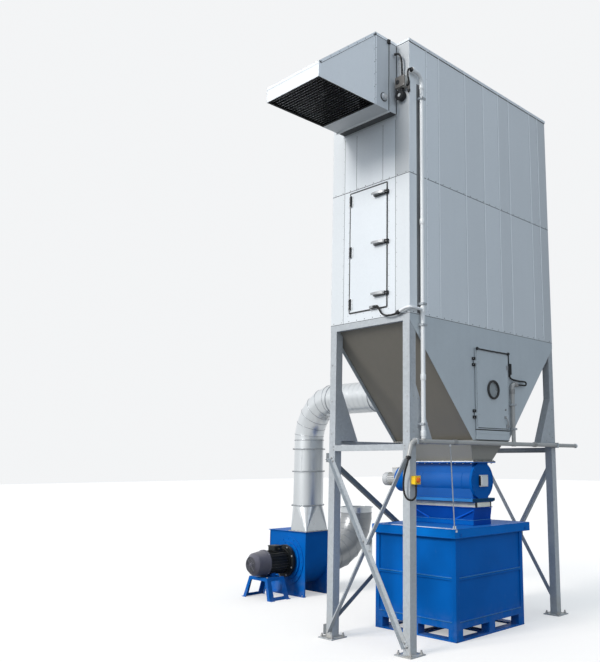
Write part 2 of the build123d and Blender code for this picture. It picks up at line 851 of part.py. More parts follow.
def hatch_fixed_hinge(level):
    """Wall side of a hatch hinge: two knuckles on a strap, and the pin through them."""
    pin = rod((hatch_axis_x, hatch_axis_y, level - 1.5 * hatch_knuckle),
              (hatch_axis_x, hatch_axis_y, level + 1.5 * hatch_knuckle), hatch_pin_radius)
    result = pin
    for sign in (-1, 1):
        inner = level + sign * (hatch_knuckle / 2 + hatch_knuckle_gap)
        outer = level + sign * 1.5 * hatch_knuckle
        knuckle = rod((hatch_axis_x, hatch_axis_y, min(inner, outer)),
                      (hatch_axis_x, hatch_axis_y, max(inner, outer)), hatch_hinge_radius)
        strap = block((half_width, hatch_axis_x), (hatch_axis_y - hatch_hinge_radius - 25, hatch_axis_y - 2),
                      (min(inner, outer), max(inner, outer)))
        result += knuckle + strap
    return result


def hatch_moving_hinge(level, edge, back):
    """Leaf side of a hatch hinge: one knuckle on a strap across the leaf's face."""
    low = level - hatch_knuckle / 2
    high = level + hatch_knuckle / 2
    front = back + hatch_depth
    knuckle = rod((hatch_axis_x, hatch_axis_y, low), (hatch_axis_x, hatch_axis_y, high), hatch_hinge_radius)
    bridge = block((hatch_axis_x, front + 4), (hatch_axis_y - 3, edge + 60), (low, high))
    bridge -= block((hatch_axis_x - 1, front), (edge, edge + 61), (low - 1, high + 1))
    knuckle += bridge
    knuckle -= rod((hatch_axis_x, hatch_axis_y, low - 1), (hatch_axis_x, hatch_axis_y, high + 1),
                   hatch_pin_radius + hatch_pin_clearance)
    return knuckle


def make_valve():
    """Rotary valve with its covers and drive, and the sleeve and chute below it."""
    nodes = {}
    top = neck_bottom - neck_flange_thickness
    reach = valve_half_length
    drum = rod((-reach, 0, valve_centre), (reach, 0, valve_centre), valve_radius)
    throat = block((-reach, reach), (-valve_throat_depth / 2, valve_throat_depth / 2), (valve_base, top))
    flange_x = neck_end_width / 2 + neck_flange
    flange_y = neck_end_depth / 2 + neck_flange
    flange = block((-flange_x, flange_x), (-flange_y, flange_y), (top - valve_flange_thickness, top))
    base = block((-valve_base_width / 2, valve_base_width / 2), (-valve_base_depth / 2, valve_base_depth / 2),
                 (valve_base, valve_base + valve_flange_thickness))
    collar = block(centred(valve_base_width - 2 * valve_collar_inset),
                   centred(valve_base_depth - 2 * valve_collar_inset), (valve_collar_low, valve_base))
    nodes["valve_body"] = drum + throat + flange + base + collar
    face = reach + valve_cover_thickness
    cover = rod((reach, 0, valve_centre), (face, 0, valve_centre), valve_cover_radius)
    clear = 2 * valve_cover_radius
    beside = (reach - 1, face + 1)
    cover -= block(beside, (-clear, clear), (top - valve_flange_thickness, top + clear))
    cover -= block(beside, (-clear, clear), (valve_base - clear, valve_base + valve_flange_thickness))
    nodes["valve_covers"] = group((cover, mirrored_x(cover)))
    nodes["bearing_box"] = block((face, face + bearing_depth), centred(bearing_box),
                                 centred(bearing_box, valve_centre))
    nodes.update(make_drive(-face))
    nodes.update(make_chute())
    return nodes


def make_drive(cover_face):
    """Drive of the rotary valve: shaft, bracket, gearbox and motor, out from the left cover."""
    nodes = {}
    level = valve_centre
    gear_right = cover_face - drive_gap
    gear_left = gear_right - gearbox_length
    gearbox = rod((cover_face, 0, level), (gear_right, 0, level), drive_shaft_radius)
    height = (level - bracket_reach, level + bracket_reach)
    for sign in (-1, 1):
        inner = sign * bracket_reach
        outer = sign * (bracket_reach + bracket_plate)
        gearbox += block((gear_right, cover_face), (min(inner, outer), max(inner, outer)), height)
    width = bracket_reach + bracket_plate
    gearbox += block((gear_right, gear_right + bracket_plate), (-width, width), height)
    gearbox += rod((gear_right, 0, level), (gear_left, 0, level), gearbox_radius)
    motor_right = gear_left - drive_flange_thickness
    gearbox += rod((gear_left, 0, level), (motor_right, 0, level), drive_flange_radius)
    nodes["valve_gearbox"] = gearbox
    motor_left = motor_right - drive_motor_length
    motor = rod((motor_right, 0, level), (motor_left, 0, level), drive_motor_radius)
    motor += rod((motor_left, 0, level), (motor_left - drive_cowl_length, 0, level), drive_cowl_radius)
    length, width, height = drive_terminal
    low = level + drive_motor_radius - 15
    start = motor_right - 20
    motor += block((start - length, start), (-width / 2, width / 2), (low, low + height))
    nodes["valve_motor"] = motor
    return nodes


def make_chute():
    """Soft sleeve under the valve, and the tapered chute on the bin's lid with its corner stiffeners."""
    nodes = {}
    sleeve_low = valve_collar_low - sleeve_height
    nodes["valve_sleeve"] = bar_ring(sleeve_width, sleeve_depth, sleeve_low, valve_collar_low, sleeve_wall)
    low = bin_lid_top
    foot = (chute_width - 2 * chute_taper, chute_depth)
    head = (chute_width, chute_depth)
    thin = 2 * chute_wall
    chute = tapered_block(low, foot, sleeve_low, head)
    lip_width = chute_width + 2 * chute_lip
    lip_depth = chute_depth + 2 * chute_lip
    chute += block((-lip_width / 2, lip_width / 2), (-lip_depth / 2, lip_depth / 2),
                   (sleeve_low - chute_lip_thickness, sleeve_low))
    rim = chute_rim_thickness
    rim_top = low + chute_rim_height
    chute += block(centred(foot[0] + 2 * rim), centred(foot[1] + 2 * rim), (low, rim_top))
    chute -= tapered_block(low, (foot[0] - thin, foot[1] - thin), sleeve_low - chute_lip_thickness,
                           (head[0] - thin, head[1] - thin))
    hole = (centred(sleeve_width - 2 * sleeve_wall), centred(sleeve_depth - 2 * sleeve_wall))
    chute -= block(*hole, (sleeve_low - chute_lip_thickness - 1, sleeve_low + 1))
    lean = chute_taper / (sleeve_low - low)
    corner = foot[0] / 2 + lean * chute_rim_height
    outline = Polyline((corner - chute_rib_reach, rim_top), (corner, rim_top),
                       (corner + lean * chute_rib_height, rim_top + chute_rib_height), close=True)
    triangle = make_face(outline)
    frame_face = triangle - offset(triangle, amount=-chute_rib_width)
    front = Plane(origin=(0, -foot[1] / 2, 0), x_dir=(1, 0, 0), z_dir=(0, -1, 0))
    rib = extrude(front * frame_face, rim)
    for shape in (rib, mirrored_x(rib), mirrored_y(rib), mirrored_x(mirrored_y(rib))):
        chute += shape
    nodes["valve_chute"] = chute
    return nodes


def make_bin():
    """Dust bin: lid, ribbed shell and a base with fork pockets both ways."""
    nodes = {}
    x = bin_width / 2
    y = bin_depth / 2
    lid_x = x + bin_lid_overhang
    lid_y = y + bin_lid_overhang_y
    lid = block((-lid_x, lid_x), (-lid_y, lid_y), (bin_lid_top - bin_lid_rim, bin_lid_top))
    lid -= block((-lid_x + bin_lid_wall, lid_x - bin_lid_wall), (-lid_y + bin_lid_wall, lid_y - bin_lid_wall),
                 (bin_lid_top - bin_lid_rim - 1, bin_top))
    lid = Pos(0, bin_lid_shift, 0) * lid
    hole = block((-chute_hole_width / 2, chute_hole_width / 2), (-chute_hole_depth / 2, chute_hole_depth / 2),
                 (bin_top - 1, bin_lid_top + 1))
    nodes["bin_lid"] = lid - hole
    nodes["bin_body"] = Pos(0, bin_shift, 0) * make_bin_body(x, y)
    base = block((-x, x), (-y, y), (0, bin_underside))
    half = foot_width / 2
    free = (runner_height, bin_underside + 1)
    for sign in (-1, 1):
        bay_x = sorted((sign * half, sign * (x - foot_width)))
        base -= block((-x - 1, x + 1), sorted((sign * half, sign * (y - foot_width))), free)
        base -= block(bay_x, (-y - 1, y + 1), free)
        for other in (-1, 1):
            bay_y = sorted((other * half, other * (y - foot_width)))
            base -= block(bay_x, bay_y, (-1, bin_underside + 1))
    nodes["bin_base"] = Pos(0, bin_shift, 0) * base
    return nodes


def make_bin_body(x, y):
    """Open topped shell with corner posts, rails and recessed panels."""
    body = block((-x, x), (-y, y), (bin_underside, bin_top))
    lower_row = (bin_underside + bin_rail_height, bin_rib_level)
    upper_row = (bin_rib_level + bin_rib_height, bin_top - bin_head_height)
    between_x = centred(2 * (x - bin_post))
    between_y = centred(2 * (y - bin_post))
    for row in (lower_row, upper_row):
        for sign in (-1, 1):
            body -= block(sorted((sign * (x - bin_recess), sign * (x + 1))), between_y, row)
            body -= block(between_x, sorted((sign * (y - bin_recess), sign * (y + 1))), row)
    inner = bin_recess + bin_wall
    hollow = (centred(2 * (x - inner)), centred(2 * (y - inner)))
    return body - block(*hollow, (bin_underside + bin_wall, bin_top + 1))


def scroll_outline():
    """Volute of three quarter arcs whose radius grows by one step each, up to the outlet."""
    top = Vector(fan_x + scroll_shift, fan_shaft_level - scroll_step / 2)
    left = top + Vector(scroll_step, 0)
    low = left + Vector(0, scroll_step)
    wide = scroll_radius + 2 * scroll_step
    outlet_left = fan_right - fan_outlet_width
    crown = top.Y + scroll_radius
    edges = [
        CenterArc((top.X, top.Y), scroll_radius, 90, 90),
        CenterArc((left.X, left.Y), scroll_radius + scroll_step, 180, 90),
        CenterArc((low.X, low.Y), wide, 270, 90),
        Polyline((low.X + wide, low.Y), (fan_right, fan_top), (outlet_left, fan_top), (outlet_left, crown),
                 (top.X, crown)),
    ]
    return make_face(edges)


def make_fan():
    """Fan casing with its volute between two plates, the motor and its stand."""
    nodes = {}
    level = fan_shaft_level
    upright = Plane(origin=(0, fan_back, 0), x_dir=(1, 0, 0), z_dir=(0, -1, 0))
    casing = extrude(upright * scroll_outline(), fan_depth)
    for y in ((fan_front, fan_front + fan_plate), (fan_back - fan_plate, fan_back)):
        casing += block((fan_left, fan_right), y, (0, fan_top))
    flange_x = (fan_left - fan_flange, fan_right + fan_flange)
    flange_y = (fan_front - fan_flange, fan_back + fan_flange)
    casing += block(flange_x, flange_y, (fan_top, fan_top + fan_flange_thickness))
    foot_x = (fan_left - fan_foot_overhang, fan_right + fan_foot_overhang)
    for y in ((fan_front - fan_foot_depth, fan_front), (fan_back, fan_back + fan_foot_depth)):
        casing += block(foot_x, y, (0, fan_foot_thickness))
    cover_front = fan_front - fan_cover_proud
    step_front = cover_front - fan_step_proud
    casing += rod((fan_x, fan_front, level), (fan_x, cover_front, level), fan_cover_radius)
    casing += rod((fan_x, cover_front, level), (fan_x, step_front, level), fan_step_radius)
    nodes["fan_casing"] = casing
    flange_back = step_front - motor_neck_length
    body_front = flange_back - motor_flange_thickness
    body_end = body_front - motor_body_length
    motor = rod((fan_x, step_front, level), (fan_x, flange_back, level), motor_neck_radius)
    motor += rod((fan_x, flange_back, level), (fan_x, body_front, level), motor_flange_radius)
    core = motor_radius - motor_fin_height
    motor += rod((fan_x, body_front, level), (fan_x, body_end, level), core)
    half = motor_fin_thickness / 2
    fin = block((-half, half), (body_end, body_front), (core - half, motor_radius))
    for index in range(motor_fin_count):
        motor += Pos(fan_x, 0, level) * Rot(0, 360 * index / motor_fin_count, 0) * fin
    nodes["fan_motor"] = motor
    shoulder = motor_cover_length - motor_cover_edge
    edges = Polyline((0, 0), (motor_cover_radius, 0), (motor_cover_nose, shoulder),
                     (motor_grille_radius, motor_cover_length), (0, motor_cover_length), close=True)
    cover = revolve(make_face(edges), Axis.Y)
    nodes["fan_motor_cover"] = Pos(fan_x, body_end, level) * Rot(180, 0, 0) * cover
    nodes["motor_stand"] = make_stand(fan_x, body_end + stand_from_motor_end, level)
    return nodes


def make_stand(x, y, axis_level):
    """Splayed plate trestle with a window in each side, and the cradle under the motor."""
    top = axis_level - motor_radius - motor_lift
    foot = (stand_foot_width, stand_foot_depth)
    head = (stand_top_width, stand_top_depth)
    thin = 2 * stand_plate
    stand = tapered_block(0, foot, top, head)
    inner_foot = (foot[0] - thin, foot[1] - thin)
    inner_head = (head[0] - thin, head[1] - thin)
    stand -= tapered_block(0, inner_foot, top - stand_plate, inner_head)
    leg = 2 * stand_leg
    window_top = top - stand_rail
    lean = (foot[0] - head[0]) / top
    high = foot[0] - leg - lean * window_top
    reach = stand_foot_width + stand_foot_depth
    window = Polyline((-foot[0] / 2 + stand_leg, 0), (foot[0] / 2 - stand_leg, 0), (high / 2, window_top),
                      (-high / 2, window_top), close=True)
    stand -= extrude(make_face(Plane.XZ * window), reach, both=True)
    half = head[1] / 2 - stand_leg
    stand -= block((-reach, reach), (-half, half), (stand_rail, window_top))
    cradle = block((-cradle_half_width, cradle_half_width), centred(cradle_depth, cradle_shift),
                   (top, top + cradle_height))
    cradle -= rod((0, -reach, axis_level), (0, reach, axis_level), motor_radius + seat_clearance)
    return Pos(x, y, 0) * (stand + cradle)


def bend_points(start, corner, end, radius, count):
    """Corners of a bend made of straight gores, tangent to its two legs."""
    into = (Vector(*corner) - Vector(*start)).normalized()
    out = (Vector(*end) - Vector(*corner)).normalized()
    first = Vector(*corner) - into * radius
    centre = first + out * radius
    points = []
    step = 90 / count
    for index in range(count):
        angle = radians(step * (index + 0.5))
        reach = radius / cos(radians(step / 2))
        points.append(centre - out * reach * cos(angle) + into * reach * sin(angle))
    return points


def mitred_duct(points, radius):
    """Round duct with a mitred joint at each corner."""
    path = Polyline(*[tuple(point) for point in points])
    section = Plane(origin=path @ 0, z_dir=path % 0) * Circle(radius)
    return sweep(section, path=path, transition=Transition.RIGHT)


def square_to_round(low, centre, size, high, axis, radius):
    """Solid from a rectangle up to a round end, made of flat facets as a folded sheet is."""
    x, y = centre
    half_x = size[0] / 2
    half_y = size[1] / 2
    corners = [(x + half_x, y - half_y, low), (x + half_x, y + half_y, low), (x - half_x, y + half_y, low),
               (x - half_x, y - half_y, low)]
    ring = []
    for index in range(transition_sides):
        angle = 2 * pi * index / transition_sides
        ring.append((axis[0] + radius * cos(angle), axis[1] + radius * sin(angle), high))
    outlines = [corners, ring]
    quarter = transition_sides // 4
    for side in range(4):
        start = corners[side]
        end = corners[(side + 1) % 4]
        middle = side * quarter
        outlines.append((start, end, ring[middle]))
        for index in range(middle, middle + quarter):
            outlines.append((end, ring[index], ring[(index + 1) % transition_sides]))
    return Solid(Shell([Face(Wire.make_polygon(outline)) for outline in outlines]))


def make_ducts():
    """Square to round piece, riser, gored bend and run into the hopper, and the suction bend."""
    nodes = {}
    bottom = fan_top + fan_flange_thickness
    square_at = (fan_right - fan_outlet_width / 2, fan_front + fan_depth / 2)
    axis = (duct_x, duct_y)
    skins = []
    for wall in (0, duct_sheet):
        size = (fan_outlet_width - 2 * wall, fan_depth - 2 * wall)
        skins.append(square_to_round(bottom, square_at, size, transition_top, axis, duct_radius - wall))
    nodes["duct_transition"] = skins[0] - skins[1]
    bend_low = duct_bend_level - duct_bend_radius
    riser = rod((*axis, transition_top), (*axis, bend_low), duct_radius)
    for level in duct_joints:
        riser += rod((*axis, level), (*axis, level + duct_flange_thickness), duct_radius + duct_flange)
    riser -= rod((*axis, transition_top - 1), (*axis, bend_low + 1), duct_radius - duct_sheet)
    nodes["duct_riser"] = riser
    corner = (*axis, duct_bend_level)
    start = (*axis, bend_low)
    end = (duct_x + duct_bend_radius, duct_y, duct_bend_level)
    points = [start, *bend_points(start, corner, end, duct_bend_radius, gore_count), end]
    nodes["duct_bend"] = mitred_duct(points, duct_radius) - mitred_duct(points, duct_radius - duct_sheet)
    tail = (-half_width, duct_y, duct_bend_level)
    nodes["duct_run"] = rod(end, tail, duct_radius) - rod(end, tail, duct_radius - duct_sheet)
    nodes.update(make_suction())
    return nodes


def make_suction():
    """Gored bend behind the fan, up to the flange that the suction duct bolts to."""
    nodes = {}
    start = (fan_x, fan_back, fan_shaft_level)
    corner = (fan_x, suction_y, fan_shaft_level)
    bend_top = fan_shaft_level + suction_bend_radius
    end = (fan_x, suction_y, bend_top)
    points = [start, *bend_points(start, corner, end, suction_bend_radius, gore_count), end]
    inner = suction_radius - duct_sheet
    nodes["suction_bend"] = mitred_duct(points, suction_radius) - mitred_duct(points, inner)
    collar = rod(end, (fan_x, suction_y, suction_top), suction_radius)
    flange_low = suction_top - duct_flange_thickness
    flange_end = (fan_x, suction_y, suction_top)
    collar += rod((fan_x, suction_y, flange_low), flange_end, suction_radius + duct_flange)
    collar -= rod((fan_x, suction_y, bend_top - 1), (fan_x, suction_y, suction_top + 1), inner)
    place = suction_radius + duct_flange / 2
    for index in range(suction_bolt_count):
        angle = 2 * pi * (index + 0.5) / suction_bolt_count
        x = fan_x + place * cos(angle)
        y = suction_y + place * sin(angle)
        collar -= rod((x, y, flange_low - 1), (x, y, suction_top + 1), suction_bolt_radius)
    nodes["suction_collar"] = collar
    return nodes


def saddle(level_point, along, face):
    """Clamp block that holds a conduit off the face behind it."""
    x, y, z = level_point
    outer = conduit_radius + clamp_wall
    half = clamp_length / 2
    if along == "z":
        body = block((face, x + outer), (y - outer, y + outer), (z - half, z + half))
        bore = rod((x, y, z - half - 1), (x, y, z + half + 1), conduit_radius + seat_clearance)
    else:
        body = block((face, x + outer), (y - half, y + half), (z - outer, z + outer))
        bore = rod((x, y - half - 1, z), (x, y + half + 1, z), conduit_radius + seat_clearance)
    return body - bore


def make_conduits():
    """Steel conduits with their clamps: riser with a gooseneck, header, and the pipe to the hatch switch."""
    nodes = {}
    front = -half_depth - door_branch_standoff
    riser = bent_rod([(conduit_x, riser_y, header_level), (conduit_x, riser_y, riser_top),
                      (conduit_x, -half_depth, riser_top)], conduit_radius, [riser_bend])
    level = housing_bottom + door_branch_height
    branch = [(door_branch_start, front, housing_bottom + door_branch_low),
              (door_branch_corner, front, level), (conduit_x, front, level), (conduit_x, riser_y, level)]
    riser += bent_rod(branch, branch_radius, [door_branch_bend, door_branch_bend])
    tee_radius = conduit_radius + tee_wall
    tee = centred(tee_length, level)
    riser += rod((conduit_x, riser_y, tee[0]), (conduit_x, riser_y, tee[1]), tee_radius)
    tip = (conduit_x, -half_depth - header_tip_reach, header_level - header_tip_drop)
    header_end = (conduit_x, half_depth + header_overrun, header_level)
    header_turn = (conduit_x, -half_depth - header_lead, header_level)
    header = bent_rod([header_end, header_turn, tip], conduit_radius, [header_bend])
    drop_top = hopper_bottom + drop_height
    header += bent_rod([(conduit_x, drop_y, header_level), (conduit_x, drop_y, drop_top),
                        (conduit_x, drop_y + drop_tip, drop_top)], conduit_radius, [drop_bend])
    for y in (riser_y, drop_y):
        tee = centred(tee_length, y)
        header += rod((conduit_x, tee[0], header_level), (conduit_x, tee[1], header_level), tee_radius)
    socket_top = (conduit_x, riser_y, header_level + tee_radius)
    riser -= rod((conduit_x, riser_y, header_level - 1), socket_top, 2 * conduit_radius)
    nodes["conduit_riser"] = riser
    header += rod((conduit_x, riser_y, header_level), socket_top, tee_radius)
    nodes["conduit_header"] = header
    clamps = []
    for height in riser_clamp_heights:
        z = housing_bottom + height
        face = leg_face if z < hopper_bottom + gusset_height else half_width
        clamps.append(saddle((conduit_x, riser_y, z), "z", face))
    for height in drop_clamp_heights:
        clamps.append(saddle((conduit_x, drop_y, housing_bottom + height), "z", half_width))
    clamps += [saddle((conduit_x, side * leg_y, header_level), "y", leg_face) for side in (-1, 1)]
    nodes["conduit_clamps"] = group(clamps)
    rod_top = header_level - conduit_radius - strut_tip
    rod_foot = (*strut_foot, bin_lid_top + strut_tip)
    nodes["lid_rod"] = rod((conduit_x, strut_top_y, rod_top), rod_foot, strut_radius)
    return nodes


def make_switches():
    """Junction box, pressure switch, isolator and the hatch switch with its bolt."""
    nodes = {}
    length, depth, height = junction_size
    left = junction_left
    bottom = junction_bottom
    face = -half_depth
    nodes["junction_box"] = block((left, left + length), (face - depth, face), (bottom, bottom + height))
    gauge_x = left + gauge_shift
    gauge_z = bottom - gauge_drop
    gauge_front = (gauge_x, face - gauge_length, gauge_z)
    nodes["pressure_switch"] = rod((gauge_x, face, gauge_z), gauge_front, gauge_radius)
    width, span, tall = isolator_size
    low_y = face + isolator_inset
    rise = (isolator_bottom, isolator_bottom + tall)
    nodes["isolator"] = block((leg_face, leg_face + width), (low_y, low_y + span), rise)
    knob_z = isolator_bottom + tall / 2
    knob_y = low_y + span / 2
    knob_x = leg_face + width
    knob_end = (knob_x + knob_length, knob_y, knob_z)
    nodes["isolator_knob"] = rod((knob_x, knob_y, knob_z), knob_end, knob_radius)
    width, span, tall = hatch_switch_size
    low_y = hatch_edges()[1] + hatch_switch_gap
    low_z = hatch_bottom + hatch_switch_height
    switch = block((half_width, half_width + width), (low_y, low_y + span), (low_z, low_z + tall))
    rod_y = low_y + hatch_rod_inset
    rod_x = half_width + hatch_rod_lift
    rod_low = low_z + tall
    bolt = rod((rod_x, rod_y, rod_low), (rod_x, rod_y, rod_low + hatch_rod_length), hatch_rod_radius)
    head = rod_low + hatch_rod_length
    bolt += block((half_width, rod_x), (rod_y - hatch_rod_radius, rod_y + hatch_rod_radius),
                  (head - 2 * hatch_rod_radius, head))
    nodes["hatch_switch"] = switch + bolt
    return nodes


def cord(name, points, radius):
    """Flexible lead: straight runs joined by tangent arcs as large as the runs allow."""
    bends = []
    for a, b, c in zip(points, points[1:], points[2:]):
        into = Vector(*b) - Vector(*a)
        out = Vector(*c) - Vector(*b)
        half_turn = radians(into.get_angle(out)) / 2
        bends.append(0.45 * min(into.length, out.length) / tan(half_turn))
    print(name, [round(bend) for bend in bends])
    return bent_rod(points, radius, bends)


def route(start, after_start, before_end, end):
    """Points of a lead: its ends, and the steps beside each end as seen from that end."""
    points = [start]
    points += [tuple(a + b for a, b in zip(start, step)) for step in after_start]
    points += [tuple(a + b for a, b in zip(end, step)) for step in before_end]
    return points + [end]


def make_leads():
    """Black flexible leads between the conduits, the switches and the hood."""
    front = -half_depth
    length, depth, height = junction_size
    box_y = front - depth / 2
    box_right = junction_left + length
    gland = (hood_width / 2 + gland_length, front - hood_gland_reach,
             housing_top - hood_height + hood_gland_height)
    box_entry = (junction_left + junction_entry, box_y, junction_bottom + height)
    hood_steps = [(52, 0, 0), (88, 2, -50), (100, 9, -125)]
    hood_lead = route(gland, hood_steps, [(3, -7, 95), (0, 0, 45)], box_entry)
    gauge_entry = (box_right, box_y, junction_bottom + gauge_entry_height)
    gauge_lead = route((conduit_x, front, riser_top), [(0, -34, 0), (1, -62, -25), (0, -68, -75)],
                       [(45, -21, 45), (42, 0, 0)], gauge_entry)
    switch_end = door_switch_x + door_switch_size[0]
    switch_y = front - door_proud - door_switch_size[1] / 2
    switch_z = housing_bottom + door_sill + door_switch_size[2] / 2 + 1
    branch_end = (door_branch_start, front - door_branch_standoff, housing_bottom + door_branch_low)
    door_lead = route((switch_end, switch_y, switch_z), [(30, 0, 0), (64, -7, -43), (110, -14, -102)],
                      [(-159, -4, -14), (-89, -3, -18), (-33.9, 0, -10.8)], branch_end)
    header_tip = (conduit_x, front - header_tip_reach, header_level - header_tip_drop)
    isolator_entry = (leg_face + isolator_entry_reach, front + isolator_inset + isolator_size[1] / 2,
                      isolator_bottom)
    isolator_lead = route(
        header_tip,
        [(0, -13.6, -44), (-28, -8, -95), (-63, 0, -150), (-89, 8, -215), (-99, 14, -290), (-89, 18, -360)],
        [(-34, -96, -150), (8, -58, -156), (18, -26, -127), (9, -6, -84), (0, 0, -42)],
        isolator_entry)
    drop_end = (conduit_x, drop_y + drop_tip, hopper_bottom + drop_height)
    switch_foot = (half_width + hatch_switch_size[0] / 2, hatch_edges()[1] + hatch_switch_gap
                   + hatch_switch_size[1] / 2, hatch_bottom + hatch_switch_height)
    hatch_lead = route(
        drop_end,
        [(0, 55, 0), (0, 130, 3), (0, 208, 3), (0, 210, 46), (0, 140, 50), (0, 60, 45)],
        [(16, 108, -64), (8, 43, -57), (0, 0, -34)],
        switch_foot)
    leads = {"hood_lead": hood_lead, "gauge_lead": gauge_lead, "door_lead": door_lead,
             "isolator_lead": isolator_lead, "hatch_lead": hatch_lead}
    return {"flex_leads": group(cord(name, points, flex_radius) for name, points in leads.items())}


assemblies = (make_housing, make_access_door, make_hood, make_frame, make_braces, make_hopper, make_hatch,
              make_valve, make_bin, make_fan, make_ducts, make_conduits, make_switches, make_leads)

for assembly in assemblies:
    for name, shape in assembly().items():
        export_step(shape, f"parts/{name}.step")
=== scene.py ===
import logging
import math
from dataclasses import dataclass, field, replace
from enum import Enum

import bmesh
import bpy
import numpy as np
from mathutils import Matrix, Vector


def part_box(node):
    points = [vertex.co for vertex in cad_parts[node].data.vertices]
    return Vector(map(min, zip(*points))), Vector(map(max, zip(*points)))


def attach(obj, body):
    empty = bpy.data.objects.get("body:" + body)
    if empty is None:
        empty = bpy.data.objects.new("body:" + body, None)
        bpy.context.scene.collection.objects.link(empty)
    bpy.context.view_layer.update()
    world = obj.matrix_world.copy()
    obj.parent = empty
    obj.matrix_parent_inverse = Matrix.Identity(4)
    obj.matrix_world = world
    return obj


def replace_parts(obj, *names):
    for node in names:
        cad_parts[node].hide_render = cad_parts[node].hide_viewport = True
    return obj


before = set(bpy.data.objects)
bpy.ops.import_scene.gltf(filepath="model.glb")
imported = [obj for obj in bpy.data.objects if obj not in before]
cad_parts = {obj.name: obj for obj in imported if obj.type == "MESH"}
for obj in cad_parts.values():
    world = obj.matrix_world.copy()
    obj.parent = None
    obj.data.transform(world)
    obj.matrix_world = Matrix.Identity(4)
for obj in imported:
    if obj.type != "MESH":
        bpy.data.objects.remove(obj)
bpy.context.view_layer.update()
log = logging.getLogger("dust_collector")

# Everything is in metres. +X is the side with the hopper hatch, -Y the side with the access door.
X, Y, Z = np.eye(3)

# The fan's square outlet, under the square to round piece: its reach in X and in Y.
OUTLET = ((-2.960, -2.620), (0.010, 0.410))


class Body(str, Enum):
    """The two bodies of the frame."""

    COLLECTOR = "collector"
    HATCH = "hatch"


def box_of(node: str) -> tuple[np.ndarray, np.ndarray]:
    """Lowest and highest corner of a carried-over node."""
    low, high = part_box(node)
    return np.array(low), np.array(high)


def linked(name: str, data: bpy.types.ID) -> bpy.types.Object:
    """A new object with the given data, in the scene."""
    made = bpy.data.objects.new(name, data)
    bpy.context.scene.collection.objects.link(made)
    return made


# Places and outlines


def points_at(*columns: np.ndarray | float) -> np.ndarray:
    """Places whose x, y and z are given as numbers or arrays."""
    return np.stack(np.broadcast_arrays(*[np.asarray(c, float) for c in columns]), axis=-1).reshape(-1, 3)


def pairs(first: np.ndarray, second: np.ndarray) -> list[np.ndarray]:
    """Every pairing of two rows of numbers, as two flat arrays."""
    return [m.ravel() for m in np.meshgrid(first, second)]


def inset_corners(low: np.ndarray, high: np.ndarray, inset: float) -> list[np.ndarray]:
    """The four corners of a rectangle drawn in on all sides, as two flat arrays."""
    return pairs(*np.stack([low + inset, high - inset], axis=1))


def spaced(start: float, end: float, pitch: float) -> np.ndarray:
    """Places from start to end, evenly spaced about a pitch apart."""
    return np.linspace(start, end, max(2, round(abs(end - start) / pitch) + 1))


def full_turn(count: int) -> np.ndarray:
    """Evenly spaced angles once round."""
    return np.arange(count) * 2 * math.pi / count


def circle(centre: np.ndarray, radius: float, angle: np.ndarray, axis: np.ndarray) -> np.ndarray:
    """Places on a circle round X, Y or Z, with angle 0 along the first of the other two."""
    u, v = np.eye(3)[axis == 0]
    return np.asarray(centre, float) + radius * (np.cos(angle)[:, None] * u + np.sin(angle)[:, None] * v)


def square_pair(axis: np.ndarray) -> tuple[np.ndarray, np.ndarray]:
    """Two directions square to an axis and to each other."""
    helper = X if abs(axis[0]) < 0.8 else Y
    u = np.cross(axis, helper)
    u /= np.linalg.norm(u)
    return u, np.cross(axis, u)


def directions(path: np.ndarray, closed: bool) -> np.ndarray:
    """Direction of a path at each of its places, one unit long."""
    along = np.roll(path, -1, 0) - np.roll(path, 1, 0)
    if not closed:
        along[0], along[-1] = path[1] - path[0], path[-1] - path[-2]
    return along / np.linalg.norm(along, axis=1)[:, None]


def resampled(path: np.ndarray, step: float, closed: bool = False) -> np.ndarray:
    """The same path with its points an even step apart, by linear steps along its length."""
    line = np.concatenate([path, path[:1]]) if closed else path
    length = np.concatenate([[0], np.cumsum(np.linalg.norm(np.diff(line, axis=0), axis=1))])
    at = np.linspace(0, length[-1], max(4, int(length[-1] / step)), endpoint=not closed)
    return np.stack([np.interp(at, length, line[:, k]) for k in range(3)], axis=1)


def rectangle(half_side: float, half_up: float) -> np.ndarray:
    """Outline of a rectangle about its middle."""
    return np.array([(-1, -1), (1, -1), (1, 1), (-1, 1)]) * (half_side, half_up)


def rounded_rectangle(x: tuple[float, float], z: tuple[float, float], radius: float, steps: int = 6) -> np.ndarray:
    """Closed outline of a rectangle with quarter circles at its corners.

    Args:
        x: Lowest and highest first coordinate.
        z: Lowest and highest second coordinate.
        radius: Radius of the corners.
        steps: Points on each quarter circle.

    Returns:
        Points going round, n by 2.
    """
    angle = np.linspace(0, math.pi / 2, steps)
    arcs = []
    for turn, (i, k) in enumerate(((1, 1), (0, 1), (0, 0), (1, 0))):
        a = angle + turn * math.pi / 2
        middle = (x[i] + (-radius if i else radius), z[k] + (-radius if k else radius))
        arcs.append(middle + radius * np.stack([np.cos(a), np.sin(a)], axis=1))
    return np.concatenate(arcs)


def screw_profile(radius: float, height: float) -> np.ndarray:
    """Profile of a pan head screw: a short wall and a rounded top, as a quarter ellipse."""
    angle = np.linspace(0, math.pi / 2, 4)
    dome = np.stack([height * (0.35 + 0.65 * np.sin(angle)), radius * np.cos(angle)], axis=1)
    return np.concatenate([[[-0.0005, radius]], dome])


# Surfaces as arrays


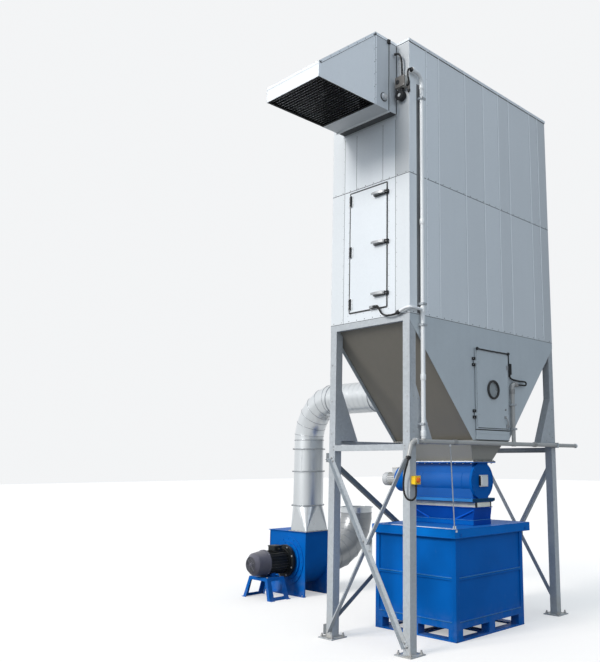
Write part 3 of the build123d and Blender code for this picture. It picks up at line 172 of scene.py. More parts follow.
def block_faces() -> tuple[np.ndarray, np.ndarray]:
    """Faces of one bevelled box, from its 24 points: three at each corner, one on each side that meets there.

    Returns:
        The faces of four (six sides and twelve bevels) and the eight corners of three.
    """
    number = np.arange(24).reshape(2, 2, 2, 3)
    four = []
    for axis in range(3):
        turned = np.moveaxis(number, axis, 0)
        b, c = (k for k in range(3) if k != axis)
        for side in turned[..., axis]:
            four.append((side[0, 0], side[1, 0], side[1, 1], side[0, 1]))
        for low, high in zip(turned[0].reshape(4, 3), turned[1].reshape(4, 3)):
            four.append((low[b], high[b], high[c], low[c]))
    return np.array(four), number.reshape(8, 3)


class Shapes:
    """Collects surfaces worked out as arrays and turns them into one mesh. Each kind of surface returns the whole."""

    def __init__(self) -> None:
        """Starts with nothing in it."""
        self.points: list[np.ndarray] = []
        self.faces: list[np.ndarray] = []
        self.count = 0

    def add(self, points: np.ndarray, *faces: np.ndarray) -> "Shapes":
        """Adds copies of a surface.

        Args:
            points: Corner places of every copy, copies by n by 3.
            faces: Indices into one copy's points, one row a face, in arrays of faces of one size.
        """
        copies, size = points.shape[:2]
        start = self.count + np.arange(copies)[:, None, None] * size
        self.points.append(points.reshape(-1, 3))
        self.faces += [(rows + start).reshape(-1, rows.shape[1]) for rows in faces]
        self.count += copies * size
        return self

    def grid(self, points: np.ndarray, along: bool = False) -> "Shapes":
        """Adds a surface given as rings of points, or many of them at once.

        Args:
            points: Places, rings by points by 3, or copies by rings by points by 3.
            along: Whether the last ring joins the first.
        """
        many = points if points.ndim == 4 else points[None]
        copies, rows, columns = many.shape[:3]
        number = np.arange(rows * columns).reshape(rows, columns)
        after = np.roll(number, -1, 0)
        ring = np.stack([number, np.roll(number, -1, 1), np.roll(after, -1, 1), after], axis=-1)
        return self.add(many.reshape(copies, -1, 3), ring[:rows if along else rows - 1].reshape(-1, 4))

    def blocks(self, low: np.ndarray, high: np.ndarray, bevel: float = 0.001) -> "Shapes":
        """Adds boxes with bevelled edges.

        Each corner becomes three points, one on each face that meets there, drawn in by the
        bevel along the other two axes.

        Args:
            low: Lowest corners, n by 3 or just 3.
            high: Highest corners, the same shape.
            bevel: Width of the bevel.
        """
        low, high = np.atleast_2d(np.asarray(low, float)), np.atleast_2d(np.asarray(high, float))
        half = (high - low) / 2
        cut = np.minimum(bevel, half.min(axis=1) * 0.45)
        signs = np.stack(np.meshgrid((-1, 1), (-1, 1), (-1, 1), indexing="ij"), axis=-1).reshape(8, 3)
        inset = (1 - np.eye(3))[None, None] * cut[:, None, None, None]
        points = ((low + high) / 2)[:, None, None] + signs[None, :, None] * (half[:, None, None] - inset)
        return self.add(points.reshape(-1, 24, 3), *block_faces())

    def mirrored(self, low: np.ndarray, high: np.ndarray, bevel: float = 0.001, axis: int = 0) -> "Shapes":
        """Adds boxes, as blocks does, and their mirror images on the other side of 0 along one axis."""
        low, high = np.atleast_2d(np.asarray(low, float)), np.atleast_2d(np.asarray(high, float))
        flipped_low, flipped_high = low.copy(), high.copy()
        flipped_low[:, axis], flipped_high[:, axis] = -high[:, axis], -low[:, axis]
        return self.blocks(low, high, bevel).blocks(flipped_low, flipped_high, bevel)

    def turned(self, profile: np.ndarray, origins: np.ndarray, axis: np.ndarray, sides: int = 24) -> "Shapes":
        """Adds turned shapes: a profile of distance along the axis and radius, carried round it.

        The point at angle a is origin + axis * along + radius * (u * cos a + v * sin a), where u
        and v are square to the axis. The last point goes back to the axis where its radius is 0.

        Args:
            profile: Rows of along and radius.
            origins: Start of each copy, n by 3 or just 3.
            axis: Direction of the axis.
            sides: Points round the circle.
        """
        origins = np.atleast_2d(np.asarray(origins, float))
        axis = np.asarray(axis, float) / np.linalg.norm(axis)
        u, v = square_pair(axis)
        angle = full_turn(sides)
        ring = np.cos(angle)[:, None] * u + np.sin(angle)[:, None] * v
        profile = np.asarray(profile, float)
        one = profile[:, None, :1] * axis + profile[:, None, 1:] * ring[None]
        return self.grid(origins[:, None, None] + one[None])

    def sweep(self, rings: np.ndarray, closed: bool = False) -> "Shapes":
        """Adds the rings of a section along a path, drawn in to their middles at both ends unless it is closed."""
        if not closed:
            middle = rings.mean(axis=1, keepdims=True).repeat(rings.shape[1], 1)
            rings = np.concatenate([middle[:1], rings, middle[-1:]])
        return self.grid(rings, along=closed)

    def tube(self, path: np.ndarray, radius: np.ndarray | float, sides: int = 12, closed: bool = False) -> "Shapes":
        """Adds a tube along a path, with a round section square to it.

        The section is turned as little as possible from one point to the next.

        Args:
            path: Places along the middle, n by 3.
            radius: Radius, one number or one for each place.
            sides: Points round the section.
            closed: Whether the path ends where it starts.
        """
        along = directions(path, closed)
        u = np.empty_like(along)
        u[0] = square_pair(along[0])[0]
        for index in range(1, len(path)):
            moved = u[index - 1] - along[index] * (u[index - 1] @ along[index])
            u[index] = moved / np.linalg.norm(moved)
        angle = full_turn(sides)[:, None]
        reach = np.broadcast_to(np.asarray(radius, float), len(path))[:, None, None]
        ring = np.cos(angle) * u[:, None] + np.sin(angle) * np.cross(along, u)[:, None]
        return self.sweep(path[:, None] + reach * ring, closed)

    def bar(self, path: np.ndarray, outline: np.ndarray, side: np.ndarray, closed: bool = False) -> "Shapes":
        """Adds a bar: a flat outline carried along a path, kept square to one side direction.

        Args:
            path: Places along the bar, n by 3.
            outline: Section points as side and up, n by 2, going round.
            side: Direction of the outline's first number.
            closed: Whether the path ends where it starts.
        """
        up = np.cross(directions(path, closed), side)
        up /= np.linalg.norm(up, axis=1)[:, None]
        return self.sweep(path[:, None] + outline[:, :1] * side + outline[:, 1:] * up[:, None], closed)

    def blade(self, path: np.ndarray, across: np.ndarray, half_widths: np.ndarray, half_thick: float) -> "Shapes":
        """Adds a flat bar with a width of its own at each place.

        Args:
            path: Places along the middle, n by 3.
            across: Direction of the width. The thickness lies along Y.
            half_widths: Half the width at each place.
            half_thick: Half the thickness.
        """
        outline = rectangle(1.0, half_thick)
        wide = half_widths[:, None, None] * outline[:, :1] * across
        return self.sweep(path[:, None] + wide + outline[:, 1:] * Y)

    def build(self, name: str, finish: "Finish", body: Body = Body.COLLECTOR, smooth: float = 32.0) -> bpy.types.Object:
        """Makes the object, merges its doubles, points its faces out and hands it to the frame.

        Args:
            name: Name of the piece.
            finish: What it is made of.
            body: What it moves with.
            smooth: Edges sharper than this many degrees stay sharp.

        Returns:
            The finished object.
        """
        mesh = bpy.data.meshes.new(name)
        mesh.from_pydata(np.concatenate(self.points), [], [list(f) for rows in self.faces for f in rows.tolist()])
        tidy_mesh(mesh, smooth)
        piece = linked(name, mesh)
        mesh.materials.append(material_of(finish))
        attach(piece, body.value)
        log.info("%s: %d faces on %s", name, len(mesh.polygons), body.value)
        return piece


def tidy_mesh(mesh: bpy.types.Mesh, smooth: float) -> None:
    """Merges doubled points, drops empty faces, turns faces outwards and marks sharp edges.

    Args:
        mesh: The mesh to tidy.
        smooth: Edges sharper than this many degrees stay sharp.
    """
    work = bmesh.new()
    work.from_mesh(mesh)
    bmesh.ops.remove_doubles(work, verts=work.verts, dist=2e-6)
    bmesh.ops.dissolve_degenerate(work, edges=work.edges, dist=1e-6)
    bmesh.ops.recalc_face_normals(work, faces=work.faces)
    limit = math.radians(smooth)
    for edge in work.edges:
        edge.smooth = edge.calc_face_angle(math.pi) < limit
    for face in work.faces:
        face.smooth = True
    work.to_mesh(mesh)
    work.free()


@dataclass(frozen=True)
class Fastener:
    """A hexagon bolt head on its washer."""

    size: float = 0.012
    washer: float = 1.25
    washer_thickness: float = 0.0022

    def put(self, shapes: Shapes, places: np.ndarray, axis: np.ndarray) -> Shapes:
        """Adds heads and washers to a mesh.

        Args:
            shapes: Where they go.
            places: Points on the surface under each washer, n by 3.
            axis: Direction that the heads point.

        Returns:
            The same shapes.
        """
        r = self.size * 0.92
        t = self.washer_thickness
        top = t + self.size * 0.62
        shapes.turned([(0, r * self.washer), (t, r * self.washer), (t, 0)], places, axis, 14)
        return shapes.turned([(t, r), (top - r * 0.12, r), (top, r * 0.86), (top, 0)], places, axis, 6)


SCREW = screw_profile(0.005, 0.003)
SMALL_BOLT = Fastener(0.009)
BOLT = Fastener(0.010)
LARGE_BOLT = Fastener(0.012)


# Finishes


@dataclass(frozen=True)
class Finish:
    """What a surface is made of. Subclasses say how its nodes are laid out."""

    slot: str
    name: str

    def dress(self, bench: "Bench") -> None:
        """Lays out the nodes of the material."""
        raise NotImplementedError


class Bench:
    """Adds and joins nodes in one tree."""

    def __init__(self, tree: bpy.types.NodeTree) -> None:
        """Works on a tree."""
        self.tree = tree

    @classmethod
    def cleared(cls, block: bpy.types.Material | bpy.types.World) -> "Bench":
        """Bench for the emptied nodes of a material or world."""
        block.use_nodes = True
        block.node_tree.nodes.clear()
        return cls(block.node_tree)

    def add(self, kind: str, inputs: dict | None = None, **settings: object) -> bpy.types.Node:
        """Adds a node.

        Args:
            kind: The node's type, without the ShaderNode that it starts with.
            inputs: Values or sockets for its inputs, by name or number.
            settings: Its other settings.

        Returns:
            The node.
        """
        node = self.tree.nodes.new("ShaderNode" + kind)
        for key, value in settings.items():
            setattr(node, key, value)
        self.feed(node, inputs or {})
        return node

    def feed(self, node: bpy.types.Node, inputs: dict) -> None:
        """Gives a node's inputs, by name or number, their values or sockets."""
        for key, value in inputs.items():
            if isinstance(value, bpy.types.NodeSocket):
                self.tree.links.new(value, node.inputs[key])
            else:
                node.inputs[key].default_value = value

    def maths(self, how: str, a: object, b: object = 0.0, clamp: bool = False) -> bpy.types.NodeSocket:
        """Result of one operation on two values."""
        return self.add("Math", {0: a, 1: b}, operation=how, use_clamp=clamp).outputs[0]

    def plus(self, a: object, b: object, clamp: bool = False) -> bpy.types.NodeSocket:
        """Sum of two values."""
        return self.maths("ADD", a, b, clamp)

    def times(self, a: object, b: object) -> bpy.types.NodeSocket:
        """Product of two values."""
        return self.maths("MULTIPLY", a, b)

    def swing(self, value: object, weight: object) -> bpy.types.NodeSocket:
        """How far a value is from one half, times a weight."""
        return self.times(self.maths("SUBTRACT", value, 0.5), weight)

    def spread(self, value: object, low: float, high: float, to_low: float = 0.0, to_high: float = 1.0
               ) -> bpy.types.NodeSocket:
        """Value taken smoothly from one range to another and held at its ends."""
        return self.add("MapRange", {0: value, 1: low, 2: high, 3: to_low, 4: to_high},
                        interpolation_type="SMOOTHSTEP").outputs[0]

    def blend(self, share: object, a: object, b: object, how: str = "MIX") -> bpy.types.NodeSocket:
        """Colour between two colours."""
        return self.add("Mix", {0: share, 6: a, 7: b}, data_type="RGBA", blend_type=how).outputs[2]

    def place(self, kind: str = "Object") -> bpy.types.NodeSocket:
        """The place that is being shaded."""
        return self.add("TexCoord").outputs[kind]

    def parts(self, vector: object) -> bpy.types.bpy_prop_collection:
        """The three numbers of a place or direction."""
        return self.add("SeparateXYZ", {0: vector}).outputs

    def noise(self, place: object, scale: object, detail: float = 3.0, rough: float = 0.55) -> bpy.types.NodeSocket:
        """Cloudy value from 0 to 1."""
        return self.add("TexNoise", {"Vector": place, "Scale": scale, "Detail": detail, "Roughness": rough}
                        ).outputs["Fac"]

    def stepped(self, value: object, steps: tuple[tuple[float, float], ...]) -> bpy.types.NodeSocket:
        """Grey level held from each step's start, a share from 0 to 1, up to the next one's."""
        ramp = self.add("ValToRGB", {0: value})
        ramp.color_ramp.interpolation = "CONSTANT"
        stops = ramp.color_ramp.elements
        while len(stops) < len(steps):
            stops.new(0.5)
        for stop, (start, level) in zip(stops, steps):
            stop.position = start
            stop.color = (level, level, level, 1)
        return ramp.outputs["Color"]

    def stretched(self, place: object, scale: tuple[float, float, float]) -> bpy.types.NodeSocket:
        """Place with each axis scaled, which draws a pattern out along the least scaled one."""
        return self.add("Mapping", {"Vector": place, "Scale": scale}).outputs[0]


def new_group(name: str, inputs: dict[str, tuple[str, object]], outputs: dict[str, str]
              ) -> tuple[Bench, dict[str, bpy.types.NodeSocket], bpy.types.Node]:
    """Starts a shader node group.

    Args:
        name: Name of the group.
        inputs: For each input its kind of socket and first value.
        outputs: For each output its kind of socket.

    Returns:
        The bench for the group, its input sockets by name, and its output node.
    """
    group = bpy.data.node_groups.new(name, "ShaderNodeTree")
    for key, (kind, value) in inputs.items():
        group.interface.new_socket(name=key, in_out="INPUT", socket_type=kind).default_value = value
    for key, kind in outputs.items():
        group.interface.new_socket(name=key, in_out="OUTPUT", socket_type=kind)
    start, end = group.nodes.new("NodeGroupInput"), group.nodes.new("NodeGroupOutput")
    return Bench(group), {s.name: s for s in start.outputs if s.name}, end


FLOAT = "NodeSocketFloat"
COLOUR = "NodeSocketColor"
VECTOR = "NodeSocketVector"
SKIN_OUTPUTS = {"Color": COLOUR, "Roughness": FLOAT, "Height": FLOAT}


def zinc_group() -> bpy.types.NodeTree:
    """Galvanised sheet: small crystal flakes, soft clouds and faint runs down the sheet."""
    bench, given, end = new_group(
        "zinc_sheet",
        {"Light": (COLOUR, (0.8, 0.8, 0.8, 1)), "Dark": (COLOUR, (0.6, 0.6, 0.6, 1)), "Flake Size": (FLOAT, 60.0),
         "Flakes": (FLOAT, 0.3), "Clouds": (FLOAT, 0.5), "Runs": (FLOAT, 0.3), "Roughness": (FLOAT, 0.4)},
        SKIN_OUTPUTS)
    place = bench.place()
    cell = bench.add("TexVoronoi", {"Vector": place, "Scale": given["Flake Size"]}, feature="F1")
    flake = bench.add("SeparateColor", {0: cell.outputs["Color"]}).outputs[0]
    cloud = bench.noise(place, 1.7, 4.0)
    run = bench.noise(bench.stretched(place, (9.0, 9.0, 0.5)), 1.3, 4.0, 0.6)
    share = 0.5
    for value, weight in ((flake, given["Flakes"]), (cloud, given["Clouds"]), (run, given["Runs"])):
        share = bench.plus(share, bench.swing(value, weight))
    share = bench.maths("MINIMUM", bench.maths("MAXIMUM", share, 0.0), 1.0)
    rough = bench.plus(given["Roughness"], bench.swing(cloud, 0.12))
    rough = bench.plus(rough, bench.swing(flake, bench.times(given["Flakes"], 0.16)))
    height = bench.times(flake, bench.times(given["Flakes"], 0.3))
    bench.feed(end, {"Color": bench.blend(share, given["Dark"], given["Light"]), "Roughness": rough,
                     "Height": bench.plus(height, bench.noise(place, 3.1, 3.0))})
    return bench.tree


def coat_group() -> bpy.types.NodeTree:
    """Paint or moulded skin: two near shades in soft clouds, a fine orange peel and small scuffs."""
    bench, given, end = new_group(
        "coat_skin",
        {"Main": (COLOUR, (0.5, 0.5, 0.5, 1)), "Shade": (COLOUR, (0.4, 0.4, 0.4, 1)),
         "Cloud Size": (FLOAT, 2.0), "Peel Size": (FLOAT, 260.0), "Roughness": (FLOAT, 0.4), "Scuffs": (FLOAT, 0.2)},
        SKIN_OUTPUTS)
    place = bench.place()
    cloud = bench.noise(place, given["Cloud Size"], 4.0, 0.5)
    scuff = bench.spread(bench.noise(bench.stretched(place, (1.0, 1.0, 0.35)), 14.0, 5.0, 0.7), 0.60, 0.78)
    scuff = bench.times(scuff, given["Scuffs"])
    colour = bench.blend(bench.spread(cloud, 0.35, 0.68), given["Main"], given["Shade"])
    rough = bench.plus(bench.plus(given["Roughness"], bench.times(scuff, 0.3)), bench.swing(cloud, 0.12))
    bench.feed(end, {"Color": bench.blend(bench.times(scuff, 0.35), colour, (0.55, 0.56, 0.56, 1)),
                     "Roughness": rough, "Height": bench.noise(place, given["Peel Size"], 2.0, 0.5)})
    return bench.tree


def dust_group() -> bpy.types.NodeTree:
    """Settled dust: on what faces up, and splashed on what stands near the floor."""
    bench, given, end = new_group(
        "settled_dust",
        {"Color": (COLOUR, (0.5, 0.5, 0.5, 1)), "Roughness": (FLOAT, 0.5), "Dust": (COLOUR, (0.42, 0.38, 0.32, 1)),
         "Top": (FLOAT, 0.4), "Splash": (FLOAT, 0.4)},
        {"Color": COLOUR, "Roughness": FLOAT})
    place = bench.place()
    facing = bench.parts(bench.add("NewGeometry").outputs["Normal"])[2]
    patch = bench.noise(place, 7.0, 5.0, 0.65)
    top = bench.times(bench.spread(facing, 0.55, 0.98), bench.spread(patch, 0.28, 0.75, 0.35, 1.0))
    low = bench.times(bench.spread(bench.parts(place)[2], 0.0, 0.34, 1.0, 0.0), bench.spread(patch, 0.35, 0.72))
    amount = bench.plus(bench.times(top, given["Top"]), bench.times(low, given["Splash"]), clamp=True)
    bench.feed(end, {"Color": bench.blend(amount, given["Color"], given["Dust"]),
                     "Roughness": bench.plus(given["Roughness"], bench.times(amount, 0.35), clamp=True)})
    return bench.tree


def edge_group() -> bpy.types.NodeTree:
    """Softened and worn edges: how far a rounded normal leaves the flat one, broken up by noise."""
    bench, given, end = new_group(
        "worn_edges",
        {"Radius": (FLOAT, 0.003), "Wear": (FLOAT, 0.5)},
        {"Mask": FLOAT, "Normal": VECTOR})
    soft = bench.add("Bevel", {"Radius": given["Radius"]}, samples=4).outputs[0]
    flat = bench.add("NewGeometry").outputs["Normal"]
    lean = bench.add("VectorMath", {0: soft, 1: flat}, operation="DOT_PRODUCT").outputs["Value"]
    broken = bench.spread(bench.noise(bench.place(), 34.0, 4.0, 0.7), 0.36, 0.62)
    mask = bench.times(bench.spread(lean, 0.995, 0.90), bench.times(broken, given["Wear"]))
    bench.feed(end, {"Mask": mask, "Normal": soft})
    return bench.tree


GROUP_MAKERS = {"zinc_sheet": zinc_group, "coat_skin": coat_group, "settled_dust": dust_group,
                "worn_edges": edge_group}


def group_outputs(bench: Bench, name: str, inputs: dict) -> bpy.types.bpy_prop_collection:
    """Outputs of a shared node group placed in a material. The group is made the first time it is asked for."""
    tree = bpy.data.node_groups.get(name) or GROUP_MAKERS[name]()
    return bench.add("Group", inputs, node_tree=tree).outputs


def finish_surface(bench: Bench, skin: bpy.types.bpy_prop_collection, *, metallic: float = 0.0, bump: float = 0.1,
                   dust: tuple[float, float] = (0.3, 0.3), edge: tuple[float, float] = (0.003, 0.3),
                   bare: tuple[float, ...] = (0.55, 0.56, 0.57, 1), gloss: float = 0.5, painted_shade_level: object = None) -> None:
    """Joins a skin's colour, roughness and height to the surface shader, over worn edges and under dust.

    Args:
        bench: The material's bench.
        skin: Outputs of the skin's group.
        metallic: How much of a metal it is.
        bump: Strength of the bump, which is 1 mm deep.
        dust: Dust on top and splash near the floor.
        edge: Radius of the softened edges and amount of wear there.
        bare: Colour that shows at worn edges.
        gloss: Strength of the reflection that isn't the metal's own.
        painted_shade_level: Grey level that the colour is multiplied by as painted shade, where there is one.
    """
    # Colour darkened by the painted shade's grey level, where there is one.
    colour = skin["Color"] if painted_shade_level is None else bench.blend(1.0, skin["Color"], painted_shade_level, "MULTIPLY")
    worn = group_outputs(bench, "worn_edges", {"Radius": edge[0], "Wear": edge[1]})
    dusty = group_outputs(bench, "settled_dust", {"Color": bench.blend(worn["Mask"], colour, bare),
                                                  "Roughness": skin["Roughness"], "Top": dust[0], "Splash": dust[1]})
    relief = bench.add("Bump", {"Strength": bump, "Distance": 0.001, "Height": skin["Height"],
                                "Normal": worn["Normal"]}).outputs[0]
    shader = bench.add("BsdfPrincipled", {"Base Color": dusty["Color"], "Roughness": dusty["Roughness"],
                                          "Metallic": metallic, "Normal": relief, "Specular IOR Level": gloss})
    bench.add("OutputMaterial", {0: shader.outputs[0]})


def shaded(colour: tuple[float, float, float], factor: float = 1.0) -> tuple[float, float, float, float]:
    """Colour with each part multiplied, and full alpha."""
    return (*(part * factor for part in colour), 1.0)


@dataclass(frozen=True)
class Zinc(Finish):
    """Galvanised steel."""

    colour: tuple[float, float, float] = (0.8, 0.81, 0.82)
    contrast: float = 0.88
    flake_size: float = 60.0
    flakes: float = 0.35
    clouds: float = 0.5
    runs: float = 0.3
    roughness: float = 0.42
    metallic: float = 0.3
    bump: float = 0.06
    wear: float = 0.2
    dust: tuple[float, float] = (0.3, 0.3)
    # Steps of painted shade along Y: where each starts and its grey level.
    painted_shade_steps: tuple[tuple[float, float], ...] = ()

    def dress(self, bench: Bench) -> None:
        """Flakes, clouds and runs under a little dust, darkened in steps along Y as painted shade.

        Each entry of painted_shade_steps is the Y where a step starts and its grey level.
        """
        skin = group_outputs(bench, "zinc_sheet", {
            "Light": shaded(self.colour), "Dark": shaded(self.colour, self.contrast), "Flake Size": self.flake_size,
            "Flakes": self.flakes, "Clouds": self.clouds, "Runs": self.runs, "Roughness": self.roughness})
        # Painted shade: a grey level that steps along Y.
        painted_shade_level = None
        if self.painted_shade_steps:
            start, reach = -1.5, 3.0
            share = bench.maths("DIVIDE", bench.maths("SUBTRACT", bench.parts(bench.place())[1], start), reach)
            painted_shade_level = bench.stepped(share, tuple(((y - start) / reach, level) for y, level in self.painted_shade_steps))
        finish_surface(bench, skin, metallic=self.metallic, bump=self.bump, dust=self.dust,
                       edge=(0.003, self.wear), bare=shaded(self.colour, 1.08), painted_shade_level=painted_shade_level)


@dataclass(frozen=True)
class Coat(Finish):
    """Paint on steel, powder coat or moulded plastic."""

    colour: tuple[float, float, float] = (0.5, 0.5, 0.5)
    shade: float = 0.85
    cloud_size: float = 2.0
    peel_size: float = 260.0
    roughness: float = 0.38
    scuffs: float = 0.25
    bump: float = 0.05
    wear: float = 0.25
    bare: tuple[float, float, float] = (0.45, 0.5, 0.55)
    dust: tuple[float, float] = (0.3, 0.3)
    gloss: float = 0.5
    metallic: float = 0.0

    def dress(self, bench: Bench) -> None:
        """Clouded colour with peel, scuffs, worn edges and dust."""
        skin = group_outputs(bench, "coat_skin", {
            "Main": shaded(self.colour), "Shade": shaded(self.colour, self.shade), "Cloud Size": self.cloud_size,
            "Peel Size": self.peel_size, "Roughness": self.roughness, "Scuffs": self.scuffs})
        finish_surface(bench, skin, metallic=self.metallic, bump=self.bump, dust=self.dust,
                       edge=(0.003, self.wear), bare=shaded(self.bare), gloss=self.gloss)


@dataclass(frozen=True)
class Glass(Finish):
    """Thick porthole glass, a little dusty."""

    tint: tuple[float, float, float] = (0.55, 0.60, 0.62)

    def dress(self, bench: Bench) -> None:
        """Tinted glass whose roughness follows a film of dust."""
        film = bench.noise(bench.place(), 9.0, 5.0, 0.65)
        tint = bench.blend(bench.spread(film, 0.35, 0.7), shaded(self.tint), (0.62, 0.64, 0.63, 1))
        rough = bench.spread(film, 0.3, 0.75, 0.05, 0.32)
        shader = bench.add("BsdfPrincipled", {"Base Color": tint, "Roughness": rough, "Metallic": 0.0, "IOR": 1.5,
                                              "Transmission Weight": 0.45})
        bench.add("OutputMaterial", {0: shader.outputs[0]})


HOUSING = Zinc("housing_galvanised", "housing_sheet", (0.80, 0.825, 0.845), 0.90, 70.0, 0.25, 0.5, 0.35, 0.44, 0.14)
# Grey sheet of low metal sheen; its own darker grey is painted shade, used on the front corner by the hood. The sheets
# below copy it with colours of their own.
SHADE_SHEET = replace(HOUSING, name="corner_shade_sheet", colour=(0.55, 0.565, 0.575), metallic=0.05)
PLENUM = replace(SHADE_SHEET, name="plenum_sheet", colour=(0.66, 0.68, 0.70))
# The right side's sheets darken step by step towards the back: painted shade for light falling off across the face.
SIDE_SHEET = replace(SHADE_SHEET, name="side_sheet", colour=(0.82, 0.84, 0.85), painted_shade_steps=(
    (-1.5, 1.0), (-1.12, 1.0), (-0.8996, 0.93), (-0.4054, 0.90), (-0.0389, 0.93), (0.2743, 0.86), (0.511, 0.88),
    (1.0005, 0.83), (1.2, 0.66)))
# Corner posts a little darker on the front and much darker at the back: painted shade. The same front step darkens the
# hinge leaves and the bead under the hood.
POST = replace(SHADE_SHEET, name="post_sheet", colour=(0.86, 0.88, 0.89), painted_shade_steps=((-1.5, 0.90), (-1.3985, 1.0), (1.19, 0.72)))
# Cowl sheet near white, lighter than the housing: painted light for the sky that the cowl's side reflects.
LIT_HOOD_SHEET = replace(HOUSING, name="hood_sheet_painted_light", colour=(0.95, 0.96, 0.965), contrast=0.92, roughness=0.5,
                     metallic=0.04)
# Near-white folds, rims and edges: painted highlight where bent metal catches the light.
FOLD_HIGHLIGHT = Zinc("housing_galvanised", "seam_fold", (0.97, 0.98, 0.99), 0.95, 70.0, 0.1, 0.3, 0.1, 0.5, 0.0)
FRAME = Zinc("frame_galvanised", "frame_steel", (0.52, 0.545, 0.565), 0.80, 42.0, 0.55, 0.6, 0.3, 0.46, 0.2, 0.1,
             0.35, (0.35, 0.6))
# Far-side braces much darker than the frame: painted shade.
SHADED_BRACE = Zinc("frame_galvanised", "brace_painted_shade", (0.20, 0.22, 0.235), 0.80, 42.0, 0.4, 0.6, 0.3, 0.5, 0.2, 0.1)
BOLTS = Zinc("frame_galvanised", "bolt_zinc", (0.50, 0.50, 0.50), 0.7, 160.0, 0.4, 0.4, 0.2, 0.34, 0.6, 0.05, 0.3)
LATCH_GREY = Zinc("frame_galvanised", "latch_lever", (0.45, 0.46, 0.47), 0.75, 120.0, 0.3, 0.4, 0.3, 0.36, 0.5)
DARK_BOLTS = Coat("frame_galvanised", "weathered_screws", (0.12, 0.12, 0.12), 0.7, roughness=0.5, metallic=0.4)
# Dark grey strip behind the riser: painted shadow of the conduit on the wall.
RISER_SHADOW_GREY = Coat("frame_galvanised", "riser_painted_shadow", (0.20, 0.205, 0.21), 0.8, roughness=0.6, gloss=0.2)
HOPPER = Zinc("hopper_steel", "hopper_plate", (0.60, 0.645, 0.67), 0.84, 30.0, 0.12, 0.6, 0.45, 0.5, 0.22, 0.06)
NECK = replace(HOPPER, name="neck_plate", colour=(0.33, 0.32, 0.29), metallic=0.1)
# Darker than the hopper's walls: painted shade over the plates' brownish grey.
SHADED_SLOPE = Zinc("hopper_steel", "slope_plate_shade", (0.235, 0.215, 0.18), 0.82, 22.0, 0.10, 0.6, 0.6, 0.55, 0.1, 0.06)
DUCT = Zinc("duct_galvanised", "duct_sheet", (0.78, 0.81, 0.83), 0.93, 55.0, 0.10, 0.5, 0.3, 0.30, 0.90, 0.02)
SUCTION = replace(DUCT, name="suction_sheet", colour=(0.42, 0.43, 0.44), contrast=0.88, roughness=0.36, metallic=0.80)
DUCT_EDGE = Zinc("duct_galvanised", "duct_bands", (0.42, 0.44, 0.46), 0.8, 60.0, 0.3, 0.4, 0.2, 0.38, 0.6, 0.03)
CONDUIT = Zinc("conduit_grey", "conduit_tube", (0.86, 0.86, 0.85), 0.92, 90.0, 0.2, 0.45, 0.3, 0.36, 0.05, 0.05)
HEADER = replace(CONDUIT, name="conduit_header_tube", colour=(0.46, 0.45, 0.43), contrast=0.85, roughness=0.4,
                 metallic=0.1)
UNION = replace(HEADER, name="conduit_unions", colour=(0.33, 0.32, 0.31), metallic=0.15)
SILVER = Zinc("cap_grey", "drive_aluminium", (0.66, 0.67, 0.68), 0.85, 120.0, 0.2, 0.4, 0.2, 0.32, 0.5, 0.04)
FINS = replace(SILVER, name="drive_fins", colour=(0.30, 0.29, 0.26), contrast=0.8, roughness=0.4, metallic=0.3)
CAP = Coat("cap_grey", "cap_paint", (0.80, 0.80, 0.78), 0.9, 5.0, 300.0, 0.4, 0.15, 0.05, 0.3)
BLUE = Coat("blue_paint", "blue_enamel", (0.0005, 0.125, 0.48), 0.86, 1.6, 300.0, 0.42, 0.10, 0.05, 0.30,
            bare=(0.04, 0.24, 0.58), dust=(0.06, 0.16), gloss=0.06)
LID = replace(BLUE, name="lid_enamel", colour=(0.0005, 0.165, 0.58), shade=0.88, dust=(0.06, 0.1))
DRUM = replace(BLUE, name="drum_enamel", colour=(0.0005, 0.115, 0.45), roughness=0.36, bump=0.04, wear=0.2,
               dust=(0.02, 0.1), gloss=0.35)
TEAL = Coat("blue_paint", "shaded_blue", (0.004, 0.06, 0.14), 0.85, gloss=0.06, wear=0.1)
# Lighter blue strips along rail tops, flange lips and rim edges: painted highlight.
BLUE_HIGHLIGHT = Coat("blue_paint", "blue_edge_highlight", (0.03, 0.23, 0.58), 0.8, wear=0.2, gloss=0.2)
CHUTE = Coat("chute_blue", "chute_sheet", (0.0005, 0.065, 0.36), 0.82, 3.0, 160.0, 0.42, 0.08, 0.05, 0.25,
             bare=(0.02, 0.20, 0.60), dust=(0.06, 0.1), gloss=0.06)
STAY = Coat("chute_blue", "chute_stays", (0.003, 0.13, 0.68), 0.85, wear=0.1, gloss=0.1)
SLEEVE = Coat("sleeve_cream", "sleeve_fabric", (0.92, 0.88, 0.75), 0.86, 6.0, 420.0, 0.75, 0.1, 0.25, 0.0)
# Black rubber of the seals and beads; the same black stands as painted shade in gaps, beside the hood's rims, under the
# valve's lip and round the hood's port.
RUBBER_AND_PAINTED_SHADE = Coat("seal_rubber", "seal_rubber", (0.012, 0.012, 0.012), 0.7, 8.0, 500.0, 0.65, 0.1, 0.1, 0.0, gloss=0.25)
SEAM_DARK = replace(RUBBER_AND_PAINTED_SHADE, name="seam_gap", colour=(0.10, 0.105, 0.11), shade=0.8)
FLEX = Coat("flex_black", "flex_sheath", (0.010, 0.010, 0.011), 0.7, 8.0, 700.0, 0.45, 0.08, 0.05, 0.0, gloss=0.3)
GRILLE = Coat("grille_dark", "grille_bars", (0.006, 0.006, 0.007), 0.7, 5.0, 300.0, 0.6, 0.1, 0.05, 0.1,
              bare=(0.05, 0.05, 0.05), gloss=0.15)
MOTOR = Coat("motor_grey", "motor_casting", (0.013, 0.016, 0.018), 0.8, 5.0, 220.0, 0.48, 0.15, 0.15, 0.3,
             bare=(0.14, 0.14, 0.15), gloss=0.25)
